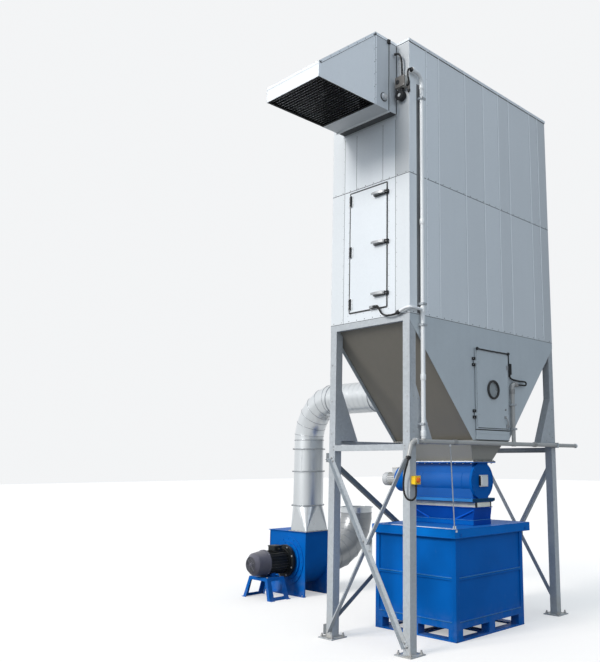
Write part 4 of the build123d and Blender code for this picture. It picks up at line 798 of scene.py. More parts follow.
COWL = Coat("motor_grey", "motor_cowl", (0.125, 0.12, 0.15), 0.85, 4.0, 260.0, 0.45, 0.25, 0.06, 0.25, gloss=0.3)
BOX = Coat("box_grey", "box_plastic", (0.66, 0.64, 0.59), 0.92, 6.0, 400.0, 0.45, 0.15, 0.05, 0.1)
# Dark lid on the front of the junction and strip boxes: painted shade.
SHADED_BOX_LID = replace(BOX, name="box_lid_shade", colour=(0.16, 0.145, 0.13), shade=0.88)
YELLOW = Coat("isolator_yellow", "isolator_shell", (1.0, 0.64, 0.03), 0.92, 6.0, 400.0, 0.36, 0.08, 0.04, 0.1,
              gloss=0.2)
RED = Coat("knob_red", "knob_plastic", (0.85, 0.18, 0.02), 0.85, 9.0, 400.0, 0.28, 0.1, 0.03, 0.1, gloss=0.3)
LATCH = Coat("latch_black", "latch_body", (0.022, 0.022, 0.024), 0.8, 9.0, 300.0, 0.45, 0.2, 0.06, 0.35,
             bare=(0.15, 0.15, 0.16), gloss=0.3)
GLASS = Glass("port_glass", "porthole_glass")

NODE_FINISH: dict[str, Finish] = {node: finish for finish, nodes in (
    (HOUSING, "left_panels back_panels front_panels_upper front_panel_lower roof access_door"),
    (SIDE_SHEET, "right_panels"), (POST, "corner_posts"), (LIT_HOOD_SHEET, "hood_cowl"), (PLENUM, "hood_plenum"),
    (FRAME, "inner_rails legs base_plates frame_beams knee_gussets end_braces conduit_clamps lid_rod"),
    (SHADED_BRACE, "side_braces"), (HOPPER, "hopper_right_wall hopper_left_wall hatch"), (NECK, "hopper_neck"),
    (SHADED_SLOPE, "hopper_front_slope hopper_back_slope"), (SUCTION, "suction_bend"),
    (DUCT, "duct_transition duct_riser duct_bend duct_run suction_collar"), (DRUM, "valve_body"),
    (BLUE, "valve_covers valve_gearbox bin_body bin_base fan_casing motor_stand"), (LID, "bin_lid"),
    (CONDUIT, "conduit_riser"), (HEADER, "conduit_header"), (GRILLE, "hood_grille"), (GLASS, "hatch_glass"),
    (LATCH, "door_hinges door_latches hatch_hinge_pins hatch_switch pressure_switch"),
    (RUBBER_AND_PAINTED_SHADE, "hatch_port_ring hatch_seal"), (SILVER, "valve_motor"), (CAP, "bearing_box"),
    (SLEEVE, "valve_sleeve"), (CHUTE, "valve_chute"), (MOTOR, "fan_motor"), (COWL, "fan_motor_cover"),
    (BOX, "junction_box"), (YELLOW, "isolator"), (RED, "isolator_knob"), (FLEX, "flex_leads"),
) for node in nodes.split()}
CURVED_NODES = ("duct_riser", "duct_bend", "duct_run", "suction_bend", "suction_collar",
                "valve_body", "valve_covers", "valve_gearbox", "valve_motor", "fan_casing", "fan_motor",
                "fan_motor_cover", "conduit_riser", "conduit_header", "conduit_clamps", "lid_rod",
                "hatch_port_ring", "pressure_switch", "isolator_knob", "door_hinges", "hood_plenum", "hatch")


def material_of(finish: Finish) -> bpy.types.Material:
    """The material of a finish, made the first time it is asked for."""
    made = bpy.data.materials.get(finish.name)
    if made is None:
        made = bpy.data.materials.new(finish.name)
        finish.dress(Bench.cleared(made))
    return made


def dress_nodes() -> None:
    """Gives every carried-over node its finish, and smooths the round ones without touching their points."""
    for name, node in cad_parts.items():
        node.data.materials.clear()
        node.data.materials.append(material_of(NODE_FINISH[name]))
        if name in CURVED_NODES:
            node.data.shade_smooth()
            node.modifiers.new("weld", "WELD").merge_threshold = 0.00001
            node.modifiers.new("sharp_edges", "EDGE_SPLIT").split_angle = math.radians(28)
    log.info("dressed %d nodes", len(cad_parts))


# The studio


@dataclass
class Studio:
    """Camera, lamps, floor and background."""

    eye: tuple[float, float, float] = (5.667, -7.059, 1.858)
    azimuth: float = 42.567
    upward: float = 9.946
    lens: float = 40.44
    shift: float = -0.151
    floor_half: float = 60.0
    pale: tuple[float, float, float] = (0.90, 0.91, 0.92)
    shy: tuple[float, float, float] = (0.10, 0.12, 0.14)
    ambient: tuple[float, float, float] = (0.57, 0.675, 0.79)
    key_strength: float = 2.4
    key_angle: float = 22.0
    fill_strength: float = 0.20
    bounce: tuple[float, float, float] = (0.20, 0.195, 0.19)

    def build(self) -> None:
        """Makes them all."""
        self.camera()
        self.lamps()
        self.world()
        self.floor()
        bpy.context.scene.view_settings.view_transform = "Standard"

    def camera(self) -> None:
        """Camera at the photograph's viewpoint."""
        data = bpy.data.cameras.new("viewpoint")
        data.sensor_width, data.lens, data.shift_x, data.clip_end = 36.0, self.lens, self.shift, 500.0
        camera = linked("viewpoint", data)
        camera.location = self.eye
        camera.rotation_euler = (math.radians(90 + self.upward), 0, math.radians(self.azimuth))
        bpy.context.scene.camera = camera

    def lamps(self) -> None:
        """One broad key from the front left and a weak fill from the right."""
        for name, strength, aim, colour, gloss in (
                ("key", self.key_strength, (0.14, 0.86, -0.49), (1.0, 0.985, 0.96), 1.0),
                ("fill", self.fill_strength, (-0.85, 0.25, -0.35), (0.9, 0.95, 1.0), 0.2)):
            data = bpy.data.lights.new(name, "SUN")
            data.energy, data.angle, data.color = strength, math.radians(self.key_angle), colour
            data.specular_factor = gloss
            x, y, z = np.array(aim) / np.linalg.norm(aim)
            linked(name, data).rotation_euler = (math.acos(-z), 0, math.atan2(y, x) - math.pi / 2)

    def world(self) -> None:
        """Background as seen directly, in gloss or through glass, and cooler light for everything else.

        The background is pale wherever it is seen directly. In gloss it falls off towards the right
        and behind the camera, below eye level most, so that round metal shows a light and a dark side.
        """
        bpy.context.scene.world = bpy.data.worlds.new("studio")
        bench = Bench.cleared(bpy.context.scene.world)
        ray = bench.add("LightPath").outputs
        seen = bench.maths("MAXIMUM", ray["Is Camera Ray"],
                           bench.maths("MAXIMUM", ray["Is Glossy Ray"], ray["Is Transmission Ray"]))
        toward = bench.parts(bench.place("Generated"))
        cos, sin = math.cos(math.radians(self.azimuth)), math.sin(math.radians(self.azimuth))
        across = bench.plus(bench.times(toward[0], cos), bench.times(toward[1], sin))
        ahead = bench.maths("SUBTRACT", bench.times(toward[1], cos), bench.times(toward[0], sin))
        dim = bench.times(bench.spread(across, -0.75, 0.60), bench.spread(ahead, 0.93, 0.60))
        dim = bench.times(dim, bench.spread(toward[2], 0.10, 0.85, 1.0, 0.15))
        dim = bench.times(dim, bench.maths("SUBTRACT", 1.0, ray["Is Camera Ray"]))
        background = bench.blend(dim, shaded(self.pale), shaded(self.shy))
        light = bench.add("Background", {"Color": bench.blend(seen, shaded(self.ambient), background),
                                         "Strength": 1.0})
        bench.add("OutputWorld", {0: light.outputs[0]})

    def floor(self) -> None:
        """Plain pale floor that keeps the object's shadow and throws back little light."""
        mesh = bpy.data.meshes.new("floor")
        corners = rectangle(self.floor_half, self.floor_half)
        mesh.from_pydata([(x, y, 0) for x, y in corners], [], [(0, 1, 2, 3)])
        made = bpy.data.materials.new("studio_floor")
        bench = Bench.cleared(made)
        ray = bench.add("LightPath").outputs
        seen = bench.maths("MAXIMUM", ray["Is Camera Ray"], ray["Is Glossy Ray"])
        lit = bench.add("BsdfDiffuse", {"Color": bench.blend(seen, shaded(self.bounce), (0.66, 0.61, 0.56, 1))})
        lift = bench.plus(bench.times(ray["Is Camera Ray"], 0.44), bench.times(ray["Is Glossy Ray"], 0.05))
        lift = bench.add("Emission", {"Color": shaded(self.pale), "Strength": lift})
        both = bench.add("AddShader", {0: lit.outputs[0], 1: lift.outputs[0]})
        bench.add("OutputMaterial", {0: both.outputs[0]})
        mesh.materials.append(made)
        linked("floor", mesh)


# Sub-assemblies


@dataclass
class Housing:
    """Filter housing: seams, screws, module joint and the access door's fittings."""

    right_seams: tuple[float, ...] = (-1.12, -0.8996, -0.4054, -0.0389, 0.2743, 0.511, 1.0005, 1.2)
    front_seams: tuple[float, ...] = (-0.403, -0.2096, 0.2096, 0.403)
    joint_level: float = 4.931
    bottom: float = 3.387
    seam_width: float = 0.005
    groove: float = 0.004
    screw_pitch: float = 0.155
    screw_radius: float = 0.0048
    proud: float = 0.0006
    under_hood: float = 5.60
    hood_cover: float = 0.9
    low: np.ndarray = field(init=False)
    high: np.ndarray = field(init=False)

    def __post_init__(self) -> None:
        """Takes the outer faces from the frame."""
        self.low, self.high = box_of("corner_posts")

    def build(self) -> None:
        """Makes every piece of the housing."""
        self.seam_lines()
        self.screws()
        self.joint_bolts()
        self.roof_trim()
        Door(self).build()

    def seam_lines(self) -> None:
        """Gap of the joints between the sheets with a near-white fold strip beside each as painted highlight, and the
        darker joint between the two modules.
        """
        gaps, folds = Shapes(), Shapes()
        x, y, top = self.high
        half, bevel, start = self.seam_width / 2, 0.0004, self.bottom + 0.002
        seams = np.array(self.right_seams) - half
        gaps.mirrored(points_at(x - self.groove, seams, start), points_at(x + self.proud, seams + 0.002, top), bevel)
        folds.mirrored(points_at(x - self.groove, seams + 0.002, start),
                       points_at(x + 3 * self.proud, seams + 0.016, top), bevel)
        low, high = self.joint_level - half * 1.5, self.joint_level + half * 1.5
        gaps.mirrored((x - self.groove, -y, low), (x + self.proud, y, high), bevel)
        gaps.mirrored((-x, y - self.groove, low), (x, y + self.proud, high), bevel, axis=1)
        seams = np.array(self.front_seams)
        gaps.mirrored(points_at(seams[[0, 3]] - half, y - self.groove, start),
                      points_at(seams[[0, 3]] + half, y + self.proud, self.joint_level), bevel, axis=1)
        for sign, low, high in ((-1, self.joint_level + 0.002, top - self.hood_cover), (1, start, top)):
            faces = np.sort([sign * (y - self.groove), sign * (y + self.proud)])
            gaps.blocks(points_at(seams - half, faces[0], low), points_at(seams + half, faces[1], high), bevel)
        gaps.build("seam_mastic", SEAM_DARK)
        folds.build("seam_fold_highlights", FOLD_HIGHLIGHT)

    def screws(self) -> None:
        """Small screws beside the seams, on all four faces."""
        shapes = Shapes()
        x, y, top = self.high
        beside = 0.016
        head = screw_profile(self.screw_radius, 0.0026)
        levels = spaced(self.bottom + 0.05, top - 0.06, self.screw_pitch)
        sides = np.array(self.right_seams)[[0, 7]]
        ends = np.array(self.front_seams)[[0, 3]]
        for sign in (-1, 1):
            shapes.turned(head, points_at(sign * x, *pairs(sides - beside * np.sign(sides), levels)), sign * X, 8)
            clear = levels if sign > 0 else levels[levels < self.under_hood]
            across, rows = pairs(ends + beside * np.sign(ends), clear)
            shapes.turned(head, points_at(across, sign * y, rows), sign * Y, 8)
        shapes.build("seam_screws", BOLTS)

    def joint_bolts(self) -> None:
        """Small dark screws along the joint between the modules and along the sill."""
        shapes = Shapes()
        head = screw_profile(0.0058, 0.003)
        x, y = self.high[:2]
        pitch = 0.125
        side, end = spaced(-y + 0.06, y - 0.06, pitch), spaced(-x + 0.05, x - 0.05, pitch)
        for sign in (-1, 1):
            for level in (self.joint_level + 0.015, self.bottom + 0.018):
                shapes.turned(head, points_at(sign * x, side, level), sign * X, 8)
                shapes.turned(head, points_at(end, sign * y, level), sign * Y, 8)
        shapes.build("joint_bolts", DARK_BOLTS)

    def roof_trim(self) -> None:
        """Drip edge near white as painted highlight, a painted shade gap under the roof's lip, screws along it, and a
        darker sheet by the hood as painted shade.
        """
        low, high = box_of("roof")
        x, y = self.high[:2]
        lip = low[2]
        head = screw_profile(0.006, 0.003)
        side, end = spaced(low[1] + 0.05, high[1] - 0.05, 0.30), spaced(low[0] + 0.05, high[0] - 0.05, 0.28)
        shapes = Shapes()
        for places, axis in ((points_at(high[0], side, lip + 0.014), X), (points_at(low[0], side, lip + 0.014), -X),
                             (points_at(end, high[1], lip + 0.014), Y)):
            shapes.turned(head, places, axis, 8)
        shapes.build("roof_screws", BOLTS)
        # Thin darker sheet on the front corner above the joint: painted shade of the hood.
        Shapes().blocks((self.front_seams[3] + 0.004, -y - 0.0008, self.joint_level + 0.008),
                        (x - 0.004, -y + 0.001, lip - 0.012), 0.0003).build("corner_front_shade_sheet", SHADE_SHEET)
        drop = 0.006
        trim = Shapes()
        trim.blocks((x, -y, lip - drop), (high[0] + 0.002, y, lip))
        trim.blocks((low[0] - 0.002, -y, lip - drop), (-x, y, lip))
        trim.blocks((low[0], y, lip - drop), (high[0], high[1] + 0.002, lip))
        trim.build("roof_drip_edge", FOLD_HIGHLIGHT)
        shade = Shapes()
        shade.mirrored((x - 0.002, -y, lip - drop - 0.008), (x + 0.0012, y, lip - drop), 0.0004)
        shade.blocks((-x, y - 0.002, lip - drop - 0.008), (x, y + 0.0012, lip - drop), 0.0004)
        shade.build("roof_edge_gap", RUBBER_AND_PAINTED_SHADE)


@dataclass
class Door:
    """Access door: rubber surround, hinges, lever latches, doorway screws and interlock."""

    housing: Housing
    seal_half: float = 0.0085
    corner: float = 0.009
    hinge_length: float = 0.120
    low: np.ndarray = field(init=False)
    high: np.ndarray = field(init=False)

    def __post_init__(self) -> None:
        """Takes the leaf's box from the frame."""
        self.low, self.high = box_of("access_door")

    @property
    def face(self) -> float:
        """Y of the leaf's outer face."""
        return self.low[1]

    def build(self) -> None:
        """Makes every fitting of the door."""
        self.seal()
        self.hinges()
        self.latches()
        self.edge_screws()
        self.interlock()

    def seal(self) -> None:
        """Black rubber in the gap round the leaf, as a rounded bar on a rounded rectangle."""
        gap = 0.005
        path = rounded_rectangle((self.low[0] - gap, self.high[0] + gap), (self.low[2] - gap, self.high[2] + gap),
                                 self.corner)
        angle = full_turn(8)
        outline = np.stack([0.004 * np.cos(angle), self.seal_half * np.sin(angle)], axis=1)
        points = points_at(path[:, 0], self.face + 0.0008, path[:, 1])
        Shapes().bar(points, outline, Y, closed=True).build("door_surround_rubber", RUBBER_AND_PAINTED_SHADE)

    def hinges(self) -> None:
        """Hinges: leaves in the door's sheet, a slim dark barrel with its knuckles, and finials."""
        low, high = box_of("door_hinges")
        half = self.hinge_length / 2
        levels = np.array([low[2] + half, (low[2] + high[2]) / 2, high[2] - half])
        axis_x, pin_y, leaf_y = self.low[0] + 0.013, low[1] + 0.014, self.face - 0.003
        leaves = Shapes().blocks(points_at(axis_x - 0.042, leaf_y, levels - half),
                                 points_at(axis_x + 0.042, self.face, levels + half), 0.0015)
        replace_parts(leaves.build("hinge_leaves", POST), "door_hinges")
        knuckle = [(-0.0195, 0.0), (-0.0195, 0.0125), (-0.0180, 0.0140), (0.0180, 0.0140), (0.0195, 0.0125),
                   (0.0195, 0.0)]
        knuckles = (levels[:, None] + np.array([-0.04, 0, 0.04])).ravel()
        barrel = Shapes().turned(knuckle, points_at(axis_x, pin_y, knuckles), Z, 20)
        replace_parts(barrel.build("hinge_barrels", LATCH), "door_hinges")
        shapes = Shapes()
        rows = (levels[:, None] + np.array([-0.042, 0.0, 0.042])).ravel()
        for shift in (-0.028, 0.028):
            shapes.turned(screw_profile(0.0055, 0.003), points_at(axis_x + shift, leaf_y, rows), -Y, 8)
        knob = [(0, 0.009), (0.004, 0.0115), (0.009, 0.009), (0.012, 0.0)]
        for sign in (1, -1):
            shapes.turned(knob, points_at(axis_x, pin_y, levels + sign * (half - 0.001)), sign * Z, 14)
        shapes.build("door_hinge_screws", BOLTS)

    def latches(self) -> None:
        """Lever of each latch: a tapered pull standing off the body, its pivot and its screws."""
        pulls, screws = Shapes(), Shapes()
        edge = self.high[0] + 0.005
        middle = (self.low[2] + self.high[2]) / 2
        face = box_of("door_latches")[0][1]
        run = np.linspace(0, 1, 9)
        for level in (self.low[2] + 0.148, middle + 0.025, self.high[2] - 0.108):
            path = points_at(edge - 0.030 - 0.165 * run, face - 0.006 - 0.016 * np.sin(run * math.pi * 0.75),
                             level + 0.004)
            pulls.blade(path, Z, 0.016 - 0.004 * run, 0.003)
            pulls.turned([(0, 0.011), (0.008, 0.011), (0.010, 0.008), (0.010, 0)],
                         (edge - 0.022, face, level), -Y, 18)
            pulls.blocks((edge - 0.178, face - 0.0012, level - 0.018), (edge - 0.008, face, level + 0.018), 0.0008)
            screws.turned(SCREW, points_at(edge - np.array([0.165, 0.120, 0.045]), face - 0.001, level - 0.0135), -Y, 8)
            screws.turned(SCREW, points_at(edge + 0.016, face, np.array([level - 0.012, level + 0.012])), -Y, 8)
        pulls.build("latch_levers", LATCH_GREY)
        screws.build("latch_screws", BOLTS)

    def edge_screws(self) -> None:
        """Screws that hold the folded frame round the doorway."""
        shapes = Shapes()
        head = screw_profile(0.0036, 0.002)
        y, out, pitch = self.housing.low[1], 0.030, 0.125
        x = (self.low[0] - out, self.high[0] + out)
        z = (self.low[2] - out, self.high[2] + out)
        for edge in x:
            shapes.turned(head, points_at(edge, y, spaced(*z, pitch)), -Y, 8)
        for edge in z:
            shapes.turned(head, points_at(spaced(*x, pitch), y, edge), -Y, 8)
        shapes.build("doorway_screws", DARK_BOLTS)

    def interlock(self) -> None:
        """Door interlock: bracket, gland nut and a small lamp window on the switch body."""
        start, end, z = 0.050, 0.130, self.low[2]
        front = self.face - 0.034
        shapes = Shapes()
        shapes.blocks((start - 0.020, self.face - 0.004, z - 0.012), (end + 0.006, self.face, z + 0.034))
        shapes.blocks((start + 0.004, front - 0.002, z + 0.003), (end - 0.030, front, z + 0.023), 0.0015)
        shapes.turned([(0, 0.013), (0.010, 0.013), (0.014, 0.011), (0.020, 0.011)],
                      (end - 0.001, self.face - 0.017, z + 0.014), X, 6)
        shapes.build("door_interlock_bracket", LATCH_GREY)


@dataclass
class Hood:
    """Outlet hood: folded rims, screws, the plenum's foot, the bird mesh and the port."""

    rim: float = 0.030
    rim_proud: float = 0.0025
    mesh_pitch: float = 0.040
    lip_height: float = 0.170
    plenum_front: float = -1.40
    low: np.ndarray = field(init=False)
    high: np.ndarray = field(init=False)

    def __post_init__(self) -> None:
        """Takes the cowl's box from the frame."""
        self.low, self.high = box_of("hood_cowl")

    def build(self) -> None:
        """Makes every fitting of the hood."""
        self.rims()
        self.foot()
        self.bolts()
        self.bars()
        self.port()

    def rims(self) -> None:
        """Turned-down edges along the slanted top and the front lip and the folded strips, near white as painted
        highlight, with dark lines beside them as painted shade.
        """
        x, joint, top = self.high
        front, foot = self.low[1:]
        lip = foot + self.lip_height
        rim, thick = self.rim, self.rim_proud
        slant = np.array([(joint, top), (front, lip)])
        along = (slant[1] - slant[0]) / np.linalg.norm(slant[1] - slant[0])
        down = np.array([along[1], -along[0]])
        down = down if down[1] < 0 else -down
        rims, lines = Shapes(), Shapes()
        for sign in (-1, 1):
            rims.bar(points_at(sign * (x + thick / 2), *(slant + down * rim / 2).T), rectangle(thick / 2, rim / 2), X)
            lines.bar(points_at(sign * (x + thick / 2 + 0.0004), *(slant + down * (rim + 0.0015)).T),
                      rectangle(0.0015, 0.0015), X)
        back = box_of("hood_plenum")[1][1] - 0.003
        for low, high in (((x, front - thick, foot), (x + thick, front + rim, lip)),
                          ((x, joint, top - rim), (x + thick, back, top + 0.001)),
                          ((x, joint - 0.022, foot), (x + thick, joint + 0.022, top - rim))):
            rims.mirrored(low, high, 0.0006)
        rims.blocks((-x - thick, front - thick, foot - 0.001), (x + thick, front, foot + rim), 0.0006)
        rims.blocks((-x - thick, front - thick, lip - rim), (x + thick, front, lip), 0.0006)
        rims.build("hood_rims", FOLD_HIGHLIGHT)
        proud = x + thick + 0.0005
        lines.mirrored((x, joint - 0.0018, foot), (proud, joint + 0.0018, top - 0.002), 0.0003)
        lines.mirrored((x, joint, top - rim - 0.003), (proud, self.plenum_front, top - rim), 0.0003)
        # Dark lines beside the plenum's band and at the housing's face: painted shade.
        for start, end in ((-1.534, -1.526), (-1.412, -1.401)):
            lines.mirrored((x, start, foot), (proud, end, top - rim), 0.0005)
        lines.build("hood_rim_shade_lines", RUBBER_AND_PAINTED_SHADE)

    def bolts(self) -> None:
        """Small screws along the slanted rims and the cowl joint, and the lifting lugs."""
        shapes = Shapes()
        head = screw_profile(0.0042, 0.0025)
        x, (joint, top) = self.high[0] + self.rim_proud, self.high[1:]
        front, foot = self.low[1:]
        share = np.linspace(0.04, 0.96, 7)
        rows = spaced(foot + 0.05, top - 0.07, 0.14)
        slant = (joint + (front - joint) * share, top + (foot + self.lip_height - top) * share - 0.020)
        for sign in (-1, 1):
            shapes.turned(head, points_at(sign * x, *slant), sign * X, 8)
            shapes.turned(head, points_at(sign * x, joint - 0.012, rows), sign * X, 8)
            shapes.turned(head, points_at(sign * x, joint + 0.012, rows + 0.03), sign * X, 8)
        shapes.build("hood_bolts", DARK_BOLTS)
        Shapes().mirrored((0.42, -1.56, 6.44), (0.442, -1.52, 6.488), 0.002).build("hood_lifting_lugs", LATCH)

    def foot(self) -> None:
        """Shaded gap and round bead under the plenum."""
        foot = self.low[2]
        Shapes().blocks((-0.415, -1.500, foot - 0.002), (0.415, -1.404, foot + 0.001), 0.0005
                        ).build("hood_foot_shade", SEAM_DARK)
        Shapes().tube(points_at(np.array([-0.418, 0.0, 0.418]), -1.521, foot - 0.002), 0.014, 16
                      ).build("hood_foot_bead", POST)

    def bars(self) -> None:
        """Fine bird mesh above the slats."""
        low, high = box_of("hood_grille")
        level, wire, edge = high[2] + 0.002, 0.0016, 0.004
        x, y = [np.arange(low[k] + 0.03, high[k] - 0.02, self.mesh_pitch) for k in (0, 1)]
        shapes = Shapes()
        shapes.blocks(points_at(x - wire, low[1] + edge, level), points_at(x + wire, high[1] - edge, level + 2 * wire),
                      0.0003)
        shapes.blocks(points_at(low[0] + edge, y - wire, level + wire),
                      points_at(high[0] - edge, y + wire, level + 3 * wire), 0.0003)
        shapes.build("hood_bird_mesh", GRILLE)

    def port(self) -> None:
        """Cap of the round port on the plenum's side, and a black ring round it as painted shadow."""
        place = (self.high[0], -1.61, 5.78)
        Shapes().turned([(0, 0.050), (0.006, 0.050), (0.010, 0.044), (0.010, 0.040)], place, X, 40
                        ).build("port_ring", RUBBER_AND_PAINTED_SHADE)
        Shapes().turned([(0.034, 0.0325), (0.038, 0.0325), (0.041, 0.029), (0.041, 0.012), (0.046, 0.010), (0.046, 0)],
                        place, X, 32).build("port_cap", SILVER)


@dataclass
class Structure:
    """Leg frame: anchors, bolts in the legs and beams, brace ends and welds."""

    leg_x: float = 0.5565
    leg_y: float = 1.3525
    leg_half: float = 0.0475
    anchor: float = 0.080
    brace_low: float = 0.08
    brace_high: float = 1.90
    crossing: float = 0.045

    def build(self) -> None:
        """Makes every fitting of the frame."""
        self.anchors()
        self.leg_bolts()
        self.brace_bolts()
        self.welds()

    def corners(self) -> np.ndarray:
        """Middles of the four legs at the floor."""
        return np.array([(sx * self.leg_x, sy * self.leg_y, 0.0) for sx in (-1, 1) for sy in (-1, 1)])

    def anchors(self) -> None:
        """Stud, nut and washer in each hole of the base plates."""
        offsets = np.array([(sx, sy, 0) for sx in (-1, 1) for sy in (-1, 1)]) * self.anchor
        places = (self.corners()[:, None] + offsets[None]).reshape(-1, 3) + 0.012 * Z
        shapes = Shapes()
        shapes.turned([(0, 0.019), (0.003, 0.019), (0.003, 0.009)], places, Z, 20)
        shapes.turned([(0.003, 0.0155), (0.017, 0.0155), (0.019, 0.0135), (0.019, 0.009)], places, Z, 6)
        shapes.turned([(-0.002, 0.0095), (0.036, 0.0095), (0.038, 0.008), (0.038, 0)], places, Z, 16)
        shapes.build("anchor_bolts", BOLTS)

    def leg_bolts(self) -> None:
        """Bolts down the outer faces of the legs, where beams, gussets and hopper fix."""
        legs, gussets = Shapes(), Shapes()
        bolt = Fastener(0.0062)
        levels = np.array([2.16, 2.52, 2.93])
        ends = np.array([1.985, 2.018])
        for x, y, _ in self.corners():
            sx, sy = np.sign(x), np.sign(y)
            bolt.put(legs, points_at(x + sx * 0.012, y + sy * self.leg_half, levels), sy * Y)
            bolt.put(legs, points_at(x - sx * 0.022, y + sy * self.leg_half, ends), sy * Y)
            bolt.put(legs, points_at(x + sx * self.leg_half, y - sy * 0.012, levels[:2]), sx * X)
            bolt.put(gussets, points_at(sx * 0.604, sy * np.array([1.275, 1.275, 1.195]),
                                        np.array([2.50, 2.20, 2.115])), sx * X)
        legs.build("leg_bolts", BOLTS)
        gussets.build("gusset_bolts", BOLTS)

    def brace_bolts(self) -> None:
        """Bolts at the brace ends and through the crossings."""
        shapes = Shapes()
        bolt = Fastener(0.011)
        low, high = self.brace_low, self.brace_high
        across, rows = pairs((-self.crossing, self.crossing), (low + high) / 2 + np.array([-1, 1]) * self.crossing)
        x = -(0.604 + 0.048 + 0.005)
        for sy in (-1, 1):
            y = sy * (1.40 + 0.005)
            for levels in (np.array([high, high - 0.036]) - 0.004, np.array([low, low + 0.036]) + 0.004):
                for sx in (-1, 1):
                    bolt.put(shapes, points_at(sx * np.array([self.leg_x, self.leg_x - 0.022]), y, levels), sy * Y)
            bolt.put(shapes, points_at(across, y, rows), sy * Y)
            for levels in (np.array([high, high - 0.022]), np.array([low, low + 0.022])):
                bolt.put(shapes, points_at(x, sy * np.array([1.3525, 1.320]), levels), -X)
        bolt.put(shapes, points_at(x, across, rows), -X)
        shapes.build("brace_bolts", BOLTS)

    def welds(self) -> None:
        """Fillet weld round the foot of each leg: a small round bead with a ripple along it."""
        shapes = Shapes()
        half = self.leg_half + 0.001
        for x, y, _ in self.corners():
            outline = rounded_rectangle((x - half, x + half), (y - half, y + half), 0.004, 3)
            path = resampled(points_at(*outline.T, 0.0135), 0.0045, closed=True)
            shapes.tube(path, 0.0042 + 0.0007 * np.cos(np.arange(len(path)) * math.pi), 6, closed=True)
        shapes.build("leg_welds", FRAME)


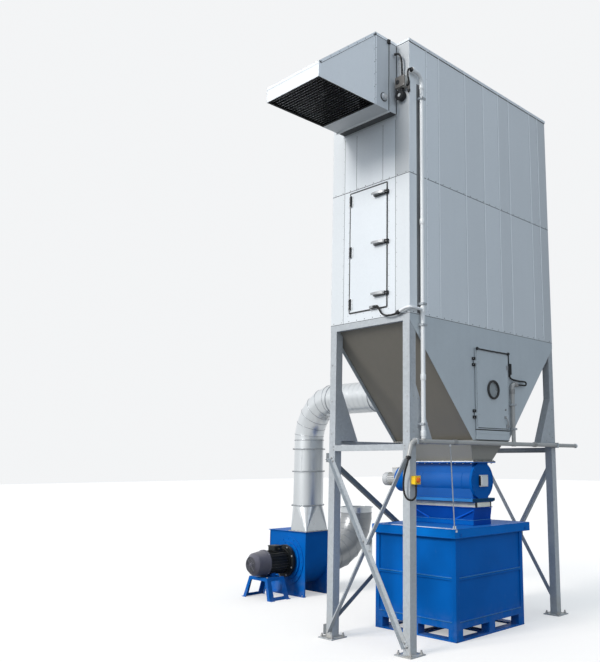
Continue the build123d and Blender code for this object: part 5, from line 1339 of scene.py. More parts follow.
@dataclass
class Hopper:
    """Hopper: flange bolts, lap lines, the box under the hatch and the hatch's fittings."""

    wall: float = 0.608
    front: float = 0.631
    hatch_y: tuple[float, float] = (-0.300, 0.340)
    hatch_top: float = 3.139
    hinge_levels: tuple[float, float] = (2.382, 2.974)

    def build(self) -> None:
        """Makes every fitting of the hopper and its hatch."""
        self.flange_bolts()
        self.lap_lines()
        self.apron()
        self.hatch_fittings()
        self.hinge_screws()
        self.porthole()
        self.catches()

    def flange_bolts(self) -> None:
        """Bolts under the hopper's plate and along the neck's flange, and a light strip along that flange's edge as
        painted highlight.
        """
        shapes = Shapes()
        flange, plate = 1.863, 2.083
        for x, y in (pairs(spaced(-0.485, 0.485, 0.108), (-0.2, 0.2)), pairs((-0.49, 0.49), (-0.14, 0.0, 0.14))):
            BOLT.put(shapes, points_at(x, y, flange), Z)
        x, y = pairs(spaced(-0.54, 0.54, 0.12), (-0.333, 0.333))
        BOLT.put(shapes, points_at(x, y, plate), -Z)
        shapes.build("neck_flange_bolts", BOLTS)
        Shapes().blocks((-0.506, -0.217, 1.8525), (0.506, -0.2145, 1.8625), 0.0006
                        ).build("neck_flange_edge", FOLD_HIGHLIGHT)

    def lap_lines(self) -> None:
        """Dark seal between the hopper and the housing, round all four sides."""
        low, high = 3.384, 3.389
        Shapes().mirrored((0.600, -1.4, low), (0.6088, 1.4, high), 0.0004
                          ).mirrored((-self.wall, 1.396, low), (self.wall, 1.4008, high), 0.0004, axis=1
                                     ).build("housing_bed_seal", RUBBER_AND_PAINTED_SHADE)

    def apron(self) -> None:
        """Folded box under the hatch, down to the hopper's plate, and black strips in the gaps round it as painted
        shade.
        """
        start, end = self.hatch_y
        face = self.wall
        box = Shapes().blocks((face, start, 2.100), (face + 0.021, end, 2.205), 0.0015)
        box.blocks((face + 0.021, start + 0.004, 2.168), (face + 0.023, end - 0.004, 2.171), 0.0004)
        box.build("hatch_apron", HOPPER)
        gap = Shapes().blocks((face, start, 2.096), (face + 0.017, end, 2.100), 0.0005)
        gap.blocks((face, start + 0.002, 2.2055), (face + 0.022, end - 0.002, 2.2155), 0.0005)
        gap.build("hatch_gap_shade", RUBBER_AND_PAINTED_SHADE)

    def hatch_fittings(self) -> None:
        """Clamp bar along the hatch's top with its knobs, the leaf's fold lines and its screws."""
        front, top = self.front, self.hatch_top
        start, end = self.hatch_y
        bar = Shapes()
        bar.tube(points_at(front + 0.008, np.array([start + 0.012, 0.0, end - 0.010]),
                           top - np.array([0.012, 0.014, 0.012])), 0.0085, 12)
        knob = [(-0.012, 0), (-0.012, 0.013), (-0.006, 0.018), (0.010, 0.018), (0.016, 0.012), (0.016, 0)]
        bar.turned(knob, points_at(front + 0.011, np.array([start + 0.012, end - 0.012]), top - 0.012), X, 18)
        bar.blocks((front, start + 0.024, 2.229), (front + 0.006, end - 0.020, 2.235))
        bar.build("hatch_clamp_bar", LATCH, Body.HATCH)
        edges = np.array([start + 0.010, end - 0.013])
        Shapes().blocks(points_at(front - 0.001, edges, 2.25), points_at(front + 0.0006, edges + 0.003, 3.11), 0.0003
                        ).build("hatch_fold_lines", RUBBER_AND_PAINTED_SHADE, Body.HATCH)
        screws = Shapes()
        across, rows = pairs((-0.278, -0.252), self.hinge_levels)
        screws.turned(SCREW, points_at(front + 0.004, across, rows), X, 8)
        screws.turned(SCREW, points_at(front, start + 0.020, spaced(2.26, 3.09, 0.118)), X, 8)
        screws.build("hatch_screws", BOLTS, Body.HATCH)

    def hinge_screws(self) -> None:
        """Screws of the hinges' fixed leaves, which stay on the wall."""
        levels = (np.array(self.hinge_levels)[:, None] + np.array([-0.035, 0.035])).ravel()
        Shapes().turned(SCREW, points_at(0.622, -0.334, levels), X, 8
                        ).build("hatch_hinge_screws", BOLTS)

    def porthole(self) -> None:
        """Rounded rubber ring round the glass."""
        path = circle((self.front + 0.011, 0.02, 2.677), 0.100, full_turn(64), X)
        Shapes().tube(path, 0.0125, 14, closed=True).build("porthole_bead", RUBBER_AND_PAINTED_SHADE, Body.HATCH)

    def catches(self) -> None:
        """Small latch knob and over-centre lever near the hatch's free edge, and its switch's brackets and key."""
        front = self.front
        lever = Shapes()
        lever.turned([(0, 0.011), (0.012, 0.011), (0.018, 0.007), (0.018, 0)], (front, 0.262, 2.455), X, 18)
        lever.tube(np.array([(front + 0.010, 0.255, 2.365), (front + 0.020, 0.268, 2.345),
                             (front + 0.020, 0.290, 2.300), (front + 0.012, 0.300, 2.270)]), 0.0065, 10)
        lever.blocks((front, 0.275, 2.245), (front + 0.010, 0.325, 2.285), 0.002)
        lever.blocks((front, 0.240, 2.350), (front + 0.010, 0.272, 2.382), 0.002)
        lever.build("hatch_lever", LATCH_GREY, Body.HATCH)
        low, high = box_of("hatch_switch")
        bracket = Shapes()
        bracket.blocks((0.608, low[1] - 0.003, 2.872), (0.622, low[1] + 0.001, 3.028), 0.0008)
        bracket.blocks((0.608, high[1], 2.880), (0.622, high[1] + 0.010, 3.020), 0.0008)
        bracket.blocks((0.608, 0.352, 3.030), (0.614, 0.368, 3.150), 0.0008)
        bracket.build("hatch_switch_brackets", LATCH_GREY)
        Shapes().blocks((front, 0.296, 2.930), (front + 0.006, 0.338, 2.985)
                        ).build("hatch_switch_key", LATCH_GREY, Body.HATCH)


@dataclass
class Valve:
    """Rotary valve: cover and flange bolts, lips, the drive's details, sleeve and chute fittings."""

    level: float = 1.64
    chute_face: float = 0.1650
    gear_face: float = -0.796

    def build(self) -> None:
        """Makes every fitting from the valve down to the lid."""
        self.covers()
        self.flanges()
        self.bearing()
        self.drive()
        self.sleeve()
        self.chute()

    def ring(self, x: float, radius: float, angle: np.ndarray) -> np.ndarray:
        """Places round the rotor's shaft."""
        return circle((x, 0.0, self.level), radius, angle, X)

    def covers(self) -> None:
        """Bolts on both sides of each end cover, and the weld beads round the drum."""
        bolts, beads = Shapes(), Shapes()
        side = np.arange(-38, 39, 19)
        angle = np.radians(np.concatenate([side, side + 180]))
        for sign in (-1, 1):
            BOLT.put(bolts, self.ring(sign * 0.470, 0.190, angle), sign * X)
            beads.tube(self.ring(sign * 0.30, 0.176, full_turn(72)), 0.0022, 6, closed=True)
        bolts.build("valve_cover_bolts", BLUE)
        beads.build("drum_weld_beads", BLUE)

    def flanges(self) -> None:
        """Bolts on the valve's top flange; on the lower one, lighter folded lips as painted highlight, a black line
        under them and darker ends as painted shade.
        """
        x, y = pairs(spaced(-0.46, 0.46, 0.115), (-0.196, 0.196))
        BOLT.put(Shapes(), points_at(x, y, 1.8395), -Z).build("valve_flange_bolts", BOLTS)
        # Lighter lips as painted highlight, then a black line under them and darker ends as painted shade.
        Shapes().mirrored((-0.486, 0.2125, 1.4085), (0.486, 0.2165, 1.4418), axis=1).build("valve_base_edge", BLUE_HIGHLIGHT)
        Shapes().mirrored((-0.472, 0.1990, 1.4015), (0.472, 0.2145, 1.4085), axis=1).build("valve_base_shade_line", RUBBER_AND_PAINTED_SHADE)
        Shapes().mirrored((0.4835, -0.2120, 1.4085), (0.4870, 0.2120, 1.4415)).build("valve_base_ends", TEAL)

    def bearing(self) -> None:
        """Lid, screws and dark side plates of the square box on the end cover."""
        low, high = box_of("bearing_box")
        out = high[0] + 0.006
        Shapes().blocks((high[0] - 0.001, *(low[1:] + 0.006)), (out, *(high[1:] - 0.006)), 0.002
                        ).build("bearing_lid", CAP)
        side = Shapes()
        for y in (low[1] - 0.005, high[1]):
            side.blocks((low[0], y, low[2] + 0.010), (high[0] - 0.004, y + 0.005, high[2] - 0.010))
        side.build("bearing_side_plates", LATCH)
        Shapes().turned(SCREW, points_at(out, *inset_corners(low[1:], high[1:], 0.016)), X, 10
                        ).build("bearing_screws", BOLTS)

    def drive(self) -> None:
        """Gearbox bolts, motor fins, the motor's cowl and its terminal box's lid."""
        low, high = box_of("valve_motor")
        bolts = Shapes()
        SMALL_BOLT.put(bolts, self.ring(-0.780, 0.135, full_turn(12)), -X)
        SMALL_BOLT.put(bolts, self.ring(self.gear_face, 0.090, full_turn(6)), -X)
        bolts.build("drive_bolts", BOLTS)
        fins = Shapes()
        outline = np.array([(-0.0015, -0.006), (0.0015, -0.006), (0.0012, 0.009), (-0.0012, 0.009)])
        for a in np.radians(np.concatenate([np.arange(-60, 61, 15), np.arange(120, 241, 15)])):
            path = np.concatenate([self.ring(x, 0.081, np.array([a])) for x in (-0.81, -0.965)])
            fins.bar(path, outline, np.array([0, -math.sin(a), math.cos(a)]))
        fins.build("drive_motor_fins", FINS)
        cowl = Shapes()
        cowl.turned([(0, 0.0845), (0.012, 0.082), (0.024, 0.070), (0.028, 0.055), (0.028, 0)],
                    (low[0], 0, self.level), -X, 40)
        cowl.turned([(0, 0.0855), (0.010, 0.0855)], (low[0] + 0.040, 0, self.level), X, 40)
        cowl.build("drive_motor_cowl", SILVER)
        end = self.gear_face - 0.020
        Shapes().blocks((end - 0.094, -0.049, high[2] - 0.004), (end + 0.004, 0.049, high[2] + 0.010), 0.003
                        ).build("drive_terminal_lid", BOX)

    def sleeve(self) -> None:
        """Folded skin of the soft sleeve, and the black clip at each corner."""
        low, high = box_of("valve_sleeve")
        x, y = high[:2]
        count = 19
        folds = np.linspace(low[2] + 0.004, high[2] - 0.004, count)
        wave = 0.0022 + 0.0022 * np.cos(np.linspace(0, 6 * math.pi, count))
        outline = rounded_rectangle((-x, x), (-y, y), 0.018)
        outward = outline / np.array([x, y])
        outward = np.sign(outward) * (np.abs(outward) > 0.93)
        outward /= np.maximum(np.linalg.norm(outward, axis=1, keepdims=True), 1.0)
        rows = np.stack([points_at(*(outline + outward * w).T, z) for w, z in zip(wave, folds)])
        skin = Shapes().grid(rows).build("sleeve_skin", SLEEVE)
        skin.modifiers.new("thickness", "SOLIDIFY").thickness = 0.0015
        clips = Shapes()
        for sx in (-1, 1):
            for sy in (-1, 1):
                edge_x = np.sort([sx * (x - 0.014), sx * (x + 0.007)])
                edge_y = np.sort([sy * (y - 0.010), sy * (y + 0.007)])
                clips.blocks((edge_x[0], edge_y[0], low[2] - 0.004), (edge_x[1], edge_y[1], high[2] + 0.004), 0.002)
        clips.build("sleeve_corner_clips", LATCH)

    def chute(self) -> None:
        """Lighter edge along the rim as painted highlight, a band along it, and tapered stays across the faces above
        it.
        """
        Shapes().mirrored((-0.460, 0.160, 1.2005), (0.460, 0.1662, 1.2065), axis=1
                          ).mirrored((0.455, -0.160, 1.2005), (0.4612, 0.160, 1.2065)
                                     ).build("chute_rim_edges", BLUE_HIGHLIGHT)
        Shapes().mirrored((-0.459, 0.163, 1.149), (0.459, 0.1655, 1.196), axis=1).build("chute_rim_bands", BLUE)
        stays = Shapes()
        run = np.linspace(0, 1, 5)
        for face in (self.chute_face, -self.chute_face):
            for sign in (1, -1):
                middle = points_at(sign * (0.462 - 0.266 * run), face, 1.318 - 0.109 * run)
                along = middle[-1] - middle[0]
                stays.blade(middle, np.cross(along / np.linalg.norm(along), Y), 0.0045 + 0.0050 * run, 0.0015)
        stays.build("chute_stays", STAY)


@dataclass
class Bin:
    """Dust bin: panel welds, painted highlight and shade lines along the rails, lid lip and plates, the rod's foot and
    the runners' shoes.
    """

    recess: float = 0.013
    post: float = 0.058

    def build(self) -> None:
        """Makes every fitting of the bin."""
        self.edges()
        self.rails()
        self.lid()
        self.rod_foot()
        self.runner_caps()

    def edges(self) -> None:
        """Weld beads where rails meet posts, as rounded rectangles on the sunk side sheets."""
        (x0, y0, _), (x1, y1, _) = box_of("bin_body")
        beads = Shapes()
        for levels in ((0.203, 0.615), (0.649, 1.055)):
            side = rounded_rectangle((y0 + self.post, y1 - self.post), levels, 0.003, 2).T
            end = rounded_rectangle((x0 + self.post, x1 - self.post), levels, 0.003, 2).T
            for path in (points_at(x0 + self.recess, *side), points_at(x1 - self.recess, *side),
                         points_at(end[0], y0 + self.recess, end[1]), points_at(end[0], y1 - self.recess, end[1])):
                beads.tube(resampled(path, 0.02, True), 0.0028, 6, closed=True)
        beads.build("panel_welds", BLUE)

    def rails(self) -> None:
        """Lighter line along the rails as painted highlight, with a painted shade line under it."""
        (x0, y0, _), (x1, y1, _) = box_of("bin_body")
        for name, finish, reach, under, over, bevel in (
                ("rail_shade_lines", TEAL, 0.0008, -0.0075, -0.0035, 0.0004),
                ("rail_highlight_lines", BLUE_HIGHLIGHT, 0.0012, -0.0035, 0.0035, 0.0005)):
            lines = Shapes()
            for level in (0.197, 0.643):
                for face in (y0, y1):
                    lines.blocks((x0 + self.post, face - reach, level + under),
                                 (x1 - self.post, face + reach, level + over), bevel)
                for face in (x0, x1):
                    lines.blocks((face - reach, y0 + self.post, level + under),
                                 (face + reach, y1 - self.post, level + over), bevel)
            lines.build(name, finish)

    def lid(self) -> None:
        """Rolled beads round the lid's lower and upper edges, and plates near its corners."""
        (x0, y0, z0), (x1, y1, z1) = box_of("bin_lid")
        outline = rounded_rectangle((x0, x1), (y0, y1), 0.006, 4)
        beads = Shapes()
        for scale, level, radius in ((1.0, z0 + 0.003, 0.0045), (0.9985, z1 - 0.0015, 0.0025)):
            beads.tube(resampled(points_at(*(outline * scale).T, level), 0.03, True), radius, 8, closed=True)
        beads.build("lid_rolled_edges", BLUE)
        x, y = pairs((x0, x1), (y0 + 0.10, y1 - 0.10))
        Shapes().blocks(points_at(x - 0.004, y - 0.02, z0 + 0.018), points_at(x + 0.004, y + 0.02, z0 + 0.052), 0.0015
                        ).build("lid_corner_plates", BLUE)

    def rod_foot(self) -> None:
        """Bracket and bar on the lid under the thin rod, and the rod's fork at the top."""
        top = box_of("bin_lid")[1][2]
        foot = np.array([0.575, -0.655, top])
        shapes = Shapes()
        shapes.blocks(foot + (-0.024, -0.020, 0.0), foot + (0.024, 0.020, 0.006), 0.0015)
        shapes.blocks(foot + (-0.018, -0.006, 0.006), foot + (-0.010, 0.006, 0.034))
        shapes.blocks(foot + (0.010, -0.006, 0.006), foot + (0.018, 0.006, 0.034))
        shapes.blocks((-0.34, -0.668, top), (0.551, -0.652, top + 0.007), 0.0012)
        shapes.blocks((0.585, -0.689, top - 0.028), (0.619, -0.660, top - 0.006))
        shapes.turned([(0, 0.011), (0.018, 0.011), (0.022, 0.008), (0.022, 0.006)], (0.645, -0.80, 2.0365), -Z, 12)
        shapes.build("lid_rod_fittings", CONDUIT)

    def runner_caps(self) -> None:
        """Folded steel shoes at the ends of the runners."""
        (x0, y0, _), (x1, y1, _) = box_of("bin_base")
        x, y = pairs((x0 + 0.055, x1 - 0.055), (y0 - 0.002, y1 - 0.02))
        Shapes().blocks(points_at(x - 0.055, y, 0.0005), points_at(x + 0.055, y + 0.022, 0.012)
                        ).build("runner_shoes", BLUE)


@dataclass
class FanSet:
    """Fan: cover bolts and beads, flange, volute folds, motor details, cowl grille and stand bolts."""

    x: float = -3.0
    level: float = 0.465
    front: float = 0.010
    back: float = 0.420

    def build(self) -> None:
        """Makes every fitting of the fan set."""
        self.cover()
        self.flange()
        self.seams()
        self.motor()
        self.grille()
        self.band()
        self.stand()

    def ring(self, radius: float, y: float, angle: np.ndarray) -> np.ndarray:
        """Places round the shaft."""
        return circle((self.x, y, self.level), radius, angle, Y)

    def cover(self) -> None:
        """Bolt circles on the inlet cover and the motor's flange, and beads on the cover's edge."""
        bolts, beads = Shapes(), Shapes()
        for radius, y, angle in ((0.300, 0.001, full_turn(16)), (0.243, -0.017, full_turn(12) + 0.2)):
            BOLT.put(bolts, self.ring(radius, y, angle), -Y)
        bolts.build("fan_cover_bolts", BLUE)
        LARGE_BOLT.put(Shapes(), self.ring(0.200, -0.081, full_turn(8) + 0.39), -Y
                            ).build("motor_flange_bolts", BOLTS)
        for radius, y in ((0.332, 0.0015), (0.259, -0.0165)):
            beads.tube(self.ring(radius, y, full_turn(96)), 0.003, 6, closed=True)
        beads.build("fan_cover_beads", BLUE)

    def flange(self) -> None:
        """Galvanised flange between the casing and the square to round piece, with its bolts."""
        top = box_of("fan_casing")[1][2]
        (x0, x1), (y0, y1) = OUTLET
        out, thick = 0.026, 0.007
        Shapes().blocks([(x0 - out, y0 - out, top), (x0 - out, y1, top), (x0 - out, y0, top), (x1, y0, top)],
                        [(x1 + out, y0, top + thick), (x1 + out, y1 + out, top + thick), (x0, y1, top + thick),
                         (x1 + out, y1, top + thick)], 0.0012).build("transition_flange", DUCT_EDGE)
        bolts = Shapes()
        for x, y in (pairs(spaced(x0, x1, 0.085), (y0 - out / 2, y1 + out / 2)),
                     pairs((x0 - out / 2, x1 + out / 2), spaced(y0 + 0.04, y1 - 0.04, 0.08))):
            SMALL_BOLT.put(bolts, points_at(x, y, top + thick), Z)
        bolts.build("transition_bolts", BOLTS)

    def seams(self) -> None:
        """Folded edges of the casing's plates, and the bolts of its feet."""
        top = box_of("fan_casing")[1][2] - 0.010
        x = (self.x - 0.423, self.x + 0.380)
        folds = Shapes()
        for edge in x:
            side = np.sort([edge, edge - 0.004 * np.sign(edge - self.x)])
            for y in (self.front - 0.010, self.back - 0.010):
                folds.blocks((side[0], y, 0.012), (side[1] + 0.001, y + 0.010, top))
        folds.blocks((x[0], self.front - 0.010, 0.010), (x[1], self.front, 0.016))
        folds.build("casing_edge_folds", BLUE)
        across, y = pairs(self.x + np.array([-0.39, 0.0, 0.35]), (-0.014, 0.434))
        LARGE_BOLT.put(Shapes(), points_at(across, y, 0.010), Z).build("casing_foot_bolts", BOLTS)

    def motor(self) -> None:
        """Terminal box, end shields and lifting eye of the motor."""
        x, low = self.x, self.level + 0.150
        start, end = -0.30, -0.17
        box = Shapes()
        box.blocks((x - 0.075, start, low), (x + 0.075, end, low + 0.062), 0.006)
        box.blocks((x - 0.080, start - 0.005, low + 0.058), (x + 0.080, end + 0.005, low + 0.076), 0.005)
        box.turned([(0, 0.016), (0.018, 0.016), (0.020, 0.012), (0.036, 0.012), (0.036, 0)],
                   (x + 0.075, -0.235, low + 0.030), X, 6)
        box.build("motor_terminal_box", MOTOR)
        shields = Shapes()
        for y, thick in ((-0.081, 0.020), (-0.404, 0.017)):
            shields.turned([(0, 0.150), (0, 0.168), (thick, 0.168), (thick, 0.150)], (x, y, self.level), -Y, 64)
        shields.build("motor_end_shields", MOTOR)
        eye = Shapes().tube(circle((x, -0.135, self.level + 0.190), 0.020, full_turn(32), Y), 0.0055, 10, closed=True)
        eye.turned([(0, 0.013), (0.008, 0.013), (0.010, 0.009), (0.018, 0.009)], (x, -0.135, self.level + 0.152), Z, 16)
        eye.build("motor_lifting_eye", BOLTS)

    def grille(self) -> None:
        """Rings and spokes of the grille in the cowl's end, over a dark mouth."""
        end = box_of("fan_motor_cover")[0][1]
        Shapes().turned([(0.0, 0.104), (0.0015, 0.104), (0.0015, 0)], (self.x, end, self.level), -Y, 48
                        ).build("cowl_mouth", RUBBER_AND_PAINTED_SHADE)
        bars = Shapes()
        for radius in np.linspace(0.026, 0.104, 8):
            bars.tube(self.ring(radius, end - 0.003, full_turn(64)), 0.0021, 6, closed=True)
        for a in full_turn(6) + 0.26:
            spoke = [self.ring(radius, end - 0.004, np.array([a])) for radius in (0.0, 0.055, 0.106)]
            bars.tube(np.concatenate(spoke), 0.0028, 8)
        bars.turned([(0, 0.022), (0.004, 0.022), (0.007, 0.017), (0.007, 0)], (self.x, end - 0.001, self.level), -Y, 24)
        bars.build("cowl_grille", COWL)

    def band(self) -> None:
        """Band round the cowl's open end, and its screws."""
        start = box_of("fan_motor_cover")[1][1]
        Shapes().turned([(0, 0.170), (0.000, 0.1795), (0.026, 0.1785), (0.026, 0.170)], (self.x, start, self.level),
                        -Y, 72).build("cowl_band", COWL)
        screws = Shapes()
        for a in np.radians([45, 135, 225, 315]):
            outward = np.array([math.cos(a), 0, math.sin(a)])
            screws.turned(screw_profile(0.006, 0.004), self.ring(0.179, start - 0.013, np.array([a])), outward, 8)
        screws.build("cowl_screws", BOLTS)

    def stand(self) -> None:
        """Bolts through the stand's top, and the folded toes at the floor."""
        middle = -0.37
        x, y = pairs(self.x + np.array([-0.16, 0.16]), middle + np.array([-0.11, 0.11]))
        LARGE_BOLT.put(Shapes(), points_at(x, y, 0.286), Z).build("stand_bolts", BOLTS)
        toes = Shapes()
        for sx in (-1, 1):
            side = np.sort(self.x + sx * np.array([0.299, 0.337]))
            for y in (middle - 0.165, middle + 0.100):
                toes.blocks((side[0], y, 0.0), (side[1], y + 0.065, 0.007))
        toes.build("stand_toes", BLUE)


@dataclass
class Ducts:
    """Round ducts: gore seams, clamp bands, lock seams, collars and flange bolts."""

    radius: float = 0.212
    axis: tuple[float, float] = (-2.830, 0.210)
    bend_level: float = 2.735
    bend_radius: float = 0.570
    suction_radius: float = 0.242
    suction_centre: tuple[float, float, float] = (-3.0, 0.758, 1.065)
    suction_bend: float = 0.600
    wall: float = -0.608
    gores: int = 6
    joints: tuple[float, ...] = (1.230, 1.710, 2.030)

    def build(self) -> None:
        """Makes every seam and band."""
        self.gore_seams()
        self.bands()
        self.spiral()
        self.wall_collar()
        self.transition_folds()
        self.suction_flange()

    def mitre_ring(self, centre: np.ndarray, start: np.ndarray, out: np.ndarray, side: np.ndarray, bend: float,
                   radius: float, angle: float) -> np.ndarray:
        """Ellipse where two gores meet, in the plane through the bend's centre.

        Args:
            centre: Centre of the bend.
            start: Direction from the centre to the bend's start.
            out: Direction in which the bend starts off.
            side: Axis of the bend.
            bend: Radius of the bend's middle line.
            radius: Radius of the duct.
            angle: Angle of the joint from the start.

        Returns:
            Places round the joint, n by 3.
        """
        radial = start * math.cos(angle) + out * math.sin(angle)
        stretch = 1 / math.cos(math.radians(90 / self.gores / 2))
        turn = full_turn(72)
        middle = centre + radial * bend * stretch
        return middle + radius * (np.cos(turn)[:, None] * radial * stretch + np.sin(turn)[:, None] * side)

    def gore_seams(self) -> None:
        """Standing seam at each mitre of both bends: a small ridge round the duct."""
        shapes = Shapes()
        centre = np.array([self.axis[0] + self.bend_radius, self.axis[1], self.bend_level - self.bend_radius])
        for index in range(self.gores):
            angle = math.radians(90 / self.gores) * (index + 0.5)
            ring = self.mitre_ring(centre, -X, Z, Y, self.bend_radius, self.radius, angle)
            shapes.tube(ring, 0.0042, 8, closed=True)
            ring = self.mitre_ring(np.array(self.suction_centre), -Z, Y, X, self.suction_bend, self.suction_radius,
                                   angle)
            shapes.tube(ring, 0.0045, 8, closed=True)
        shapes.build("gore_seams", DUCT_EDGE)

    def bands(self) -> None:
        """Clamp rings over the flanges of the riser, with their toggles, and rings at the bend's ends."""
        rings, toggles = Shapes(), Shapes()
        x, y = self.axis
        r, small = self.radius + 0.022, self.radius
        section = [(-0.002, r - 0.004), (-0.002, r + 0.001), (0.002, r + 0.004), (0.010, r + 0.004),
                   (0.014, r + 0.001), (0.014, r - 0.004)]
        rings.turned(section, points_at(x, y, np.array(self.joints)), Z, 96)
        lip = [(-0.007, small), (-0.005, small + 0.006), (0.005, small + 0.006), (0.007, small)]
        rings.turned(lip, (x, y, self.bend_level - self.bend_radius), Z, 96)
        rings.turned(lip, points_at(np.array([x + self.bend_radius, -1.42]), y, self.bend_level), X, 96)
        rings.build("duct_clamp_rings", DUCT_EDGE)
        for a in (-1.9, -0.35, 1.2):
            outward = np.array([math.cos(a), math.sin(a), 0])
            places = points_at(x, y, np.array(self.joints) + 0.006) + outward * (r + 0.003)
            toggles.turned([(0, 0.010), (0.012, 0.010), (0.014, 0.007), (0.014, 0)], places, outward, 6)
        toggles.build("duct_clamp_bolts", BOLTS)

    def spiral(self) -> None:
        """Spiral lock seam of the run, and straight lock seams down the riser's sections."""
        shapes = Shapes()
        x0, x1, pitch = self.axis[0] + self.bend_radius + 0.012, self.wall - 0.004, 0.098
        turns = (x1 - x0) / pitch
        t = np.linspace(0, 1, int(turns * 56))
        angle = t * turns * 2 * math.pi
        r = self.radius + 0.0008
        path = points_at(x0 + (x1 - x0) * t, self.axis[1] + r * np.cos(angle), self.bend_level + r * np.sin(angle))
        shapes.tube(path, 0.0019, 5)
        for low, high, a in ((1.246, 1.706, 0.9), (1.726, 2.026, -1.2), (2.046, 2.158, 2.5)):
            base = circle((*self.axis, 0), self.radius + 0.0005, np.array([a]), Z)
            shapes.tube(base + np.array([low, (low + high) / 2, high])[:, None] * Z, 0.0035, 6)
        shapes.build("duct_lock_seams", DUCT)

    def wall_collar(self) -> None:
        """Flanged collar where the run enters the hopper's side, and its bolts."""
        r = self.radius
        Shapes().turned([(0, r), (0, r + 0.045), (0.005, r + 0.045), (0.005, r + 0.006), (0.055, r + 0.003),
                         (0.055, r)], (self.wall, self.axis[1], self.bend_level), -X, 96
                        ).build("inlet_collar", DUCT_EDGE)
        places = circle((self.wall - 0.005, self.axis[1], self.bend_level), r + 0.027, full_turn(12) + 0.2, X)
        SMALL_BOLT.put(Shapes(), places, -X).build("inlet_collar_bolts", BOLTS)

    def transition_folds(self) -> None:
        """Creases of the square to round piece, from its square corners to the round end."""
        shapes = Shapes()
        low = box_of("fan_casing")[1][2]
        (x0, x1), (y0, y1) = OUTLET
        corners = np.array([(x1, y0, low), (x1, y1, low), (x0, y1, low), (x0, y0, low)])
        ends = circle((*self.axis, self.joints[0]), self.radius, full_turn(4), Z)
        for side, end in enumerate(ends):
            for corner in (corners[side], corners[(side + 1) % 4]):
                shapes.tube(np.array([corner, (corner + end) / 2, end]), 0.0016, 6)
        shapes.build("transition_folds", DUCT)

    def suction_flange(self) -> None:
        """Rolled edge at the suction flange, and a band with its bolts at the foot of the bend."""
        r = self.suction_radius
        x, y, z = self.suction_centre
        foot = z - self.suction_bend
        lip = [(-0.008, r), (-0.006, r + 0.007), (0.006, r + 0.007), (0.008, r)]
        shapes = Shapes()
        shapes.turned(lip, (x, y + self.suction_bend, z), Z, 96)
        shapes.turned(lip, (x, y, foot), Y, 96)
        shapes.turned([(0, r), (0, r + 0.035), (0.008, r + 0.035), (0.008, r)], (x, 0.410, foot), Y, 96)
        shapes.build("suction_bands", DUCT_EDGE)
        SMALL_BOLT.put(Shapes(), circle((x, 0.418, foot), r + 0.022, full_turn(12), Y), Y
                            ).build("suction_band_bolts", BOLTS)


class Lead(Enum):
    """The flexible leads, each with its route's points in millimetres.

    They are the frame's own points, apart from the isolator's loop, which is up to 17 mm narrower.
    """

    HOOD = ("hood_lead", ((440, -1455, 6340), (492, -1455, 6340), (528, -1453, 6290), (540, -1446, 6215),
                          (533, -1438, 6135), (530, -1431, 6085), (530, -1431, 6040)))
    GAUGE = ("gauge_lead", ((645, -1400, 6105), (645, -1434, 6105), (646, -1462, 6080), (645, -1468, 6030),
                            (643, -1452, 5975), (640, -1431, 5930), (598, -1431, 5930)))
    DOOR = ("door_lead", ((130, -1423, 3513), (160, -1423, 3513), (194, -1430, 3470), (240, -1437, 3411),
                          (310, -1441, 3386), (380, -1440, 3382), (435.1, -1437, 3389.2), (469, -1437, 3400)))
    ISOLATOR = ("isolator_lead", ((645, -1466, 1895), (645, -1479.6, 1851), (620, -1474, 1800), (592, -1466, 1745),
                                  (571, -1458, 1680), (563, -1452, 1605), (572, -1448, 1535), (605, -1436, 1482),
                                  (640, -1398, 1476), (650, -1366, 1505), (641, -1346, 1548), (632, -1340, 1590),
                                  (632, -1340, 1632)))
    HATCH = ("hatch_lead", ((645, 490, 2770), (645, 545, 2770), (645, 620, 2773), (645, 698, 2773),
                            (645, 700, 2816), (645, 630, 2820), (645, 550, 2815), (641, 480, 2821),
                            (633, 415, 2828), (625, 372, 2851), (625, 372, 2885)))

    def smooth_route(self) -> np.ndarray:
        """Places along the smooth curve that has the route's points as its controls, in metres."""
        name, points = self.value
        data = bpy.data.curves.new(name + "_route", "CURVE")
        data.dimensions = "3D"
        spline = data.splines.new("NURBS")
        spline.points.add(len(points) - 1)
        spline.points.foreach_set("co", np.array([(*p, 1000.0) for p in points]).ravel() / 1000.0)
        spline.order_u = 3
        spline.use_endpoint_u = True
        spline.resolution_u = 24
        holder = bpy.data.objects.new(name + "_route", data)
        mesh = bpy.data.meshes.new_from_object(holder)
        route = np.empty(len(mesh.vertices) * 3)
        mesh.vertices.foreach_get("co", route)
        bpy.data.objects.remove(holder)
        bpy.data.curves.remove(data)
        bpy.data.meshes.remove(mesh)
        return route.reshape(-1, 3)


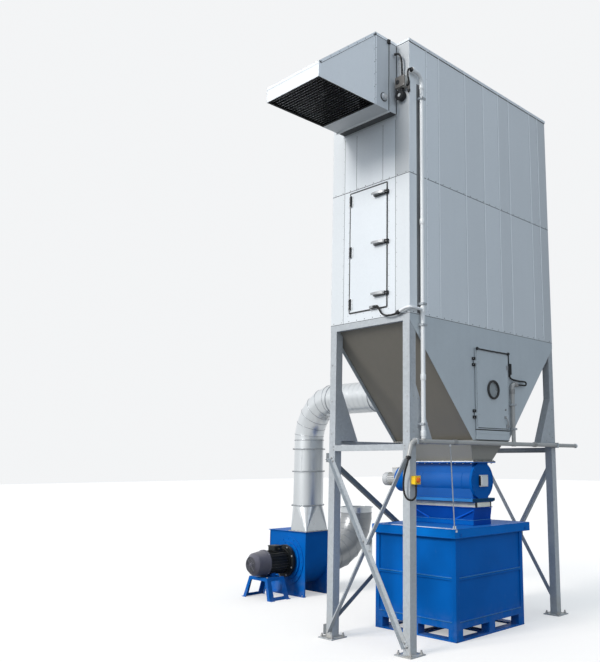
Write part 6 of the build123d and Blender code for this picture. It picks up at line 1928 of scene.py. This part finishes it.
@dataclass
class Wiring:
    """Leads, glands, couplings, and the details of the electrical boxes."""

    lead_radius: float = 0.0105
    ridge_pitch: float = 0.0062
    conduit_x: float = 0.645
    conduit_radius: float = 0.024
    riser_y: float = -1.235
    header_level: float = 2.060
    gauge_level: float = 6.105
    drop_y: float = 0.400

    def build(self) -> None:
        """Makes every lead and fitting."""
        self.leads()
        self.glands()
        self.couplings()
        self.bushes()
        self.clamp_screws()
        self.junction()
        self.gauge()
        self.isolator()

    def leads(self) -> None:
        """Corrugated sheath along each smooth route: the radius ripples with the distance along it."""
        for lead in Lead:
            route = resampled(lead.smooth_route(), self.ridge_pitch / 4)
            ripple = self.lead_radius * (0.95 + 0.05 * np.cos(np.arange(len(route)) * math.pi / 2))
            piece = Shapes().tube(route, ripple).build(lead.value[0], FLEX, smooth=70)
            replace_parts(piece, "flex_leads")

    def glands(self) -> None:
        """Hexagon gland at each end of each lead."""
        shapes = Shapes()
        nut = [(-0.002, 0.0155), (0.012, 0.0155), (0.014, 0.014), (0.026, 0.0135), (0.030, 0.0112)]
        for lead in Lead:
            points = np.array(lead.value[1]) / 1000
            for end, inner in ((points[0], points[1]), (points[-1], points[-2])):
                shapes.turned(nut, end, inner - end, 6)
                shapes.turned([(0.012, 0.0135), (0.027, 0.0132), (0.030, 0.011)], end, inner - end, 20)
        shapes.build("lead_glands", LATCH)

    def couplings(self) -> None:
        """Threaded couplings on the riser, header and drop pipe."""
        r, x = self.conduit_radius, self.conduit_x
        sleeve = [(-0.030, r), (-0.030, r + 0.0042), (-0.026, r + 0.0052), (0.026, r + 0.0052), (0.030, r + 0.0042),
                  (0.030, r)]
        header = Shapes()
        header.turned(sleeve, points_at(x, np.array([-0.72, 0.85, -1.335]), self.header_level), Y, 28)
        header.turned(sleeve, (x, self.drop_y, 2.680), Z, 28)
        header.turned(sleeve, (x, 0.460, 2.770), Y, 28)
        header.build("header_couplings", UNION)
        riser = Shapes()
        riser.turned(sleeve, points_at(x, self.riser_y, np.array([2.72, 4.40, 5.96, 2.14])), Z, 28)
        riser.turned([(-0.012, r), (-0.012, r + 0.006), (0.012, r + 0.006), (0.012, r)],
                     (x, -1.388, self.gauge_level), -Y, 28)
        riser.turned([(0.0, r), (0.0, r + 0.005), (0.022, r + 0.005), (0.026, r), (0.026, 0)],
                     (x, 1.826, self.header_level), Y, 28)
        riser.build("conduit_couplings", CONDUIT)

    def bushes(self) -> None:
        """Dark bushes where the leads enter the conduits."""
        r, x = self.conduit_radius, self.conduit_x
        dark = Shapes()
        for profile, place, axis, sides in (
                ([(-0.014, r + 0.003), (0.004, r + 0.003), (0.010, r - 0.004), (0.018, 0.017), (0.018, 0)],
                 (x, -1.466, 1.895), (0, -0.051, -0.165), 24),
                ([(-0.006, 0.0225), (0.022, 0.0225), (0.026, 0.020), (0.034, 0.017)],
                 (0.469, -1.437, 3.400), (0.113, 0, 0.036), 8),
                ([(0.0, r + 0.002), (0.012, r + 0.002), (0.016, 0.016), (0.016, 0)],
                 (x, -1.399, self.gauge_level), -Y, 24),
                ([(-0.004, r + 0.002), (0.010, r + 0.002), (0.016, 0.016), (0.016, 0)], (x, 0.488, 2.770), Y, 24)):
            dark.turned(profile, place, axis, sides)
        dark.build("conduit_bushes", LATCH)

    def clamp_screws(self) -> None:
        """Two screws through each conduit clamp, and a dark strip behind the riser as its painted shadow on the wall.
        """
        shapes = Shapes()
        x = self.conduit_x + self.conduit_radius + 0.008
        head = screw_profile(0.0065, 0.004)
        for shift in (-0.026, 0.026):
            shapes.turned(head, points_at(x, self.riser_y + shift, np.array([2.236, 3.270, 3.495, 5.820])), X, 10)
            shapes.turned(head, points_at(x, self.drop_y + shift, np.array([2.236, 2.523])), X, 10)
            shapes.turned(head, points_at(x, np.array([-1.3525, 1.3525]), self.header_level + shift), X, 10)
        shapes.build("clamp_screws", BOLTS)
        Shapes().blocks((0.6075, self.riser_y - 0.048, 3.395), (0.6098, self.riser_y + 0.012, 5.995), 0.0008
                        ).build("riser_shadow_strip", RISER_SHADOW_GREY)

    def junction(self) -> None:
        """Lid, round blank, glands and screws of the junction box, and the slim strip box beside it; the dark lids are
        painted shade.
        """
        low, high = box_of("junction_box")
        front = low[1] - 0.012
        x, _, z = (low + high) / 2
        lid = Shapes().blocks((low[0] - 0.003, front, low[2] - 0.003),
                              (high[0] + 0.003, low[1] + 0.002, high[2] + 0.003), 0.004)
        lid.blocks((0.604, -1.424, 5.878), (0.622, -1.400, 5.985), 0.002)
        lid.build("junction_lid", SHADED_BOX_LID)
        dark = Shapes()
        dark.turned([(0, 0.026), (0.004, 0.026), (0.007, 0.022), (0.007, 0)], (x - 0.028, front, z), -Y, 28)
        dark.turned([(0, 0.020), (0.028, 0.018), (0.034, 0.012)], (x, -1.431, low[2]), -Z, 12)
        dark.turned([(0, 0.017), (0.024, 0.016), (0.030, 0.010)], (0.613, -1.412, 5.879), -Z, 12)
        dark.build("junction_blanks", LATCH)
        across, rows = inset_corners(low[::2], high[::2], 0.012)
        Shapes().turned(SCREW, points_at(across, front, rows), -Y, 10
                        ).build("junction_screws", BOLTS)

    def gauge(self) -> None:
        """Bezel, pale dial, pointer and marks of the round pressure switch."""
        low, high = box_of("pressure_switch")
        centre = np.array([(low[0] + high[0]) / 2, low[1], (low[2] + high[2]) / 2])
        Shapes().turned([(0, 0.050), (0, 0.059), (0.006, 0.060), (0.012, 0.056), (0.012, 0.024), (0.004, 0.022)],
                        centre, -Y, 48).build("gauge_bezel", LATCH)
        Shapes().turned([(0, 0.024), (0.005, 0.024), (0.005, 0)], centre, -Y, 40).build("gauge_dial", CAP)
        lean = X * 0.5 + Z * 0.86
        reach = np.array([-0.008, 0.0, 0.016])[:, None]
        pointer = Shapes().tube(centre - 0.007 * Y + reach * lean, 0.0012, 6)
        angle = np.radians(np.arange(-120, 121, 24))
        marks = centre - 0.0052 * Y + 0.019 * (np.sin(angle)[:, None] * X + np.cos(angle)[:, None] * Z)
        pointer.turned([(0, 0.0014), (0.0006, 0.0014), (0.0006, 0)], marks, -Y, 6)
        pointer.build("gauge_pointer", LATCH)

    def isolator(self) -> None:
        """Raised lid, collar and lever of the isolator, with its corner screws."""
        low, high = box_of("isolator")
        out = high[0] + 0.004
        Shapes().blocks((high[0] - 0.006, *(low[1:] - 0.002)), (out, *(high[1:] + 0.002)), 0.004
                        ).build("isolator_lid", YELLOW)
        centre = np.array([out, *((low + high) / 2)[1:]])
        knob = Shapes().turned([(0, 0.027), (0.004, 0.027), (0.007, 0.023), (0.007, 0)], centre, X, 36)
        knob.blocks(centre + (0.010, -0.007, -0.024), centre + (0.024, 0.007, 0.024), 0.004)
        knob.build("isolator_lever", RED)
        Shapes().turned(screw_profile(0.004, 0.002), points_at(out, *inset_corners(low[1:], high[1:], 0.008)), X, 10
                        ).build("isolator_screws", LATCH)


def main() -> None:
    """Builds the studio and every sub-assembly in order."""
    logging.basicConfig(level=logging.INFO, format="%(message)s")
    Studio().build()
    dress_nodes()
    for assembly in (Housing(), Hood(), Structure(), Hopper(), Valve(), Bin(), FanSet(), Ducts(), Wiring()):
        assembly.build()


if __name__ == "__main__":
    main()
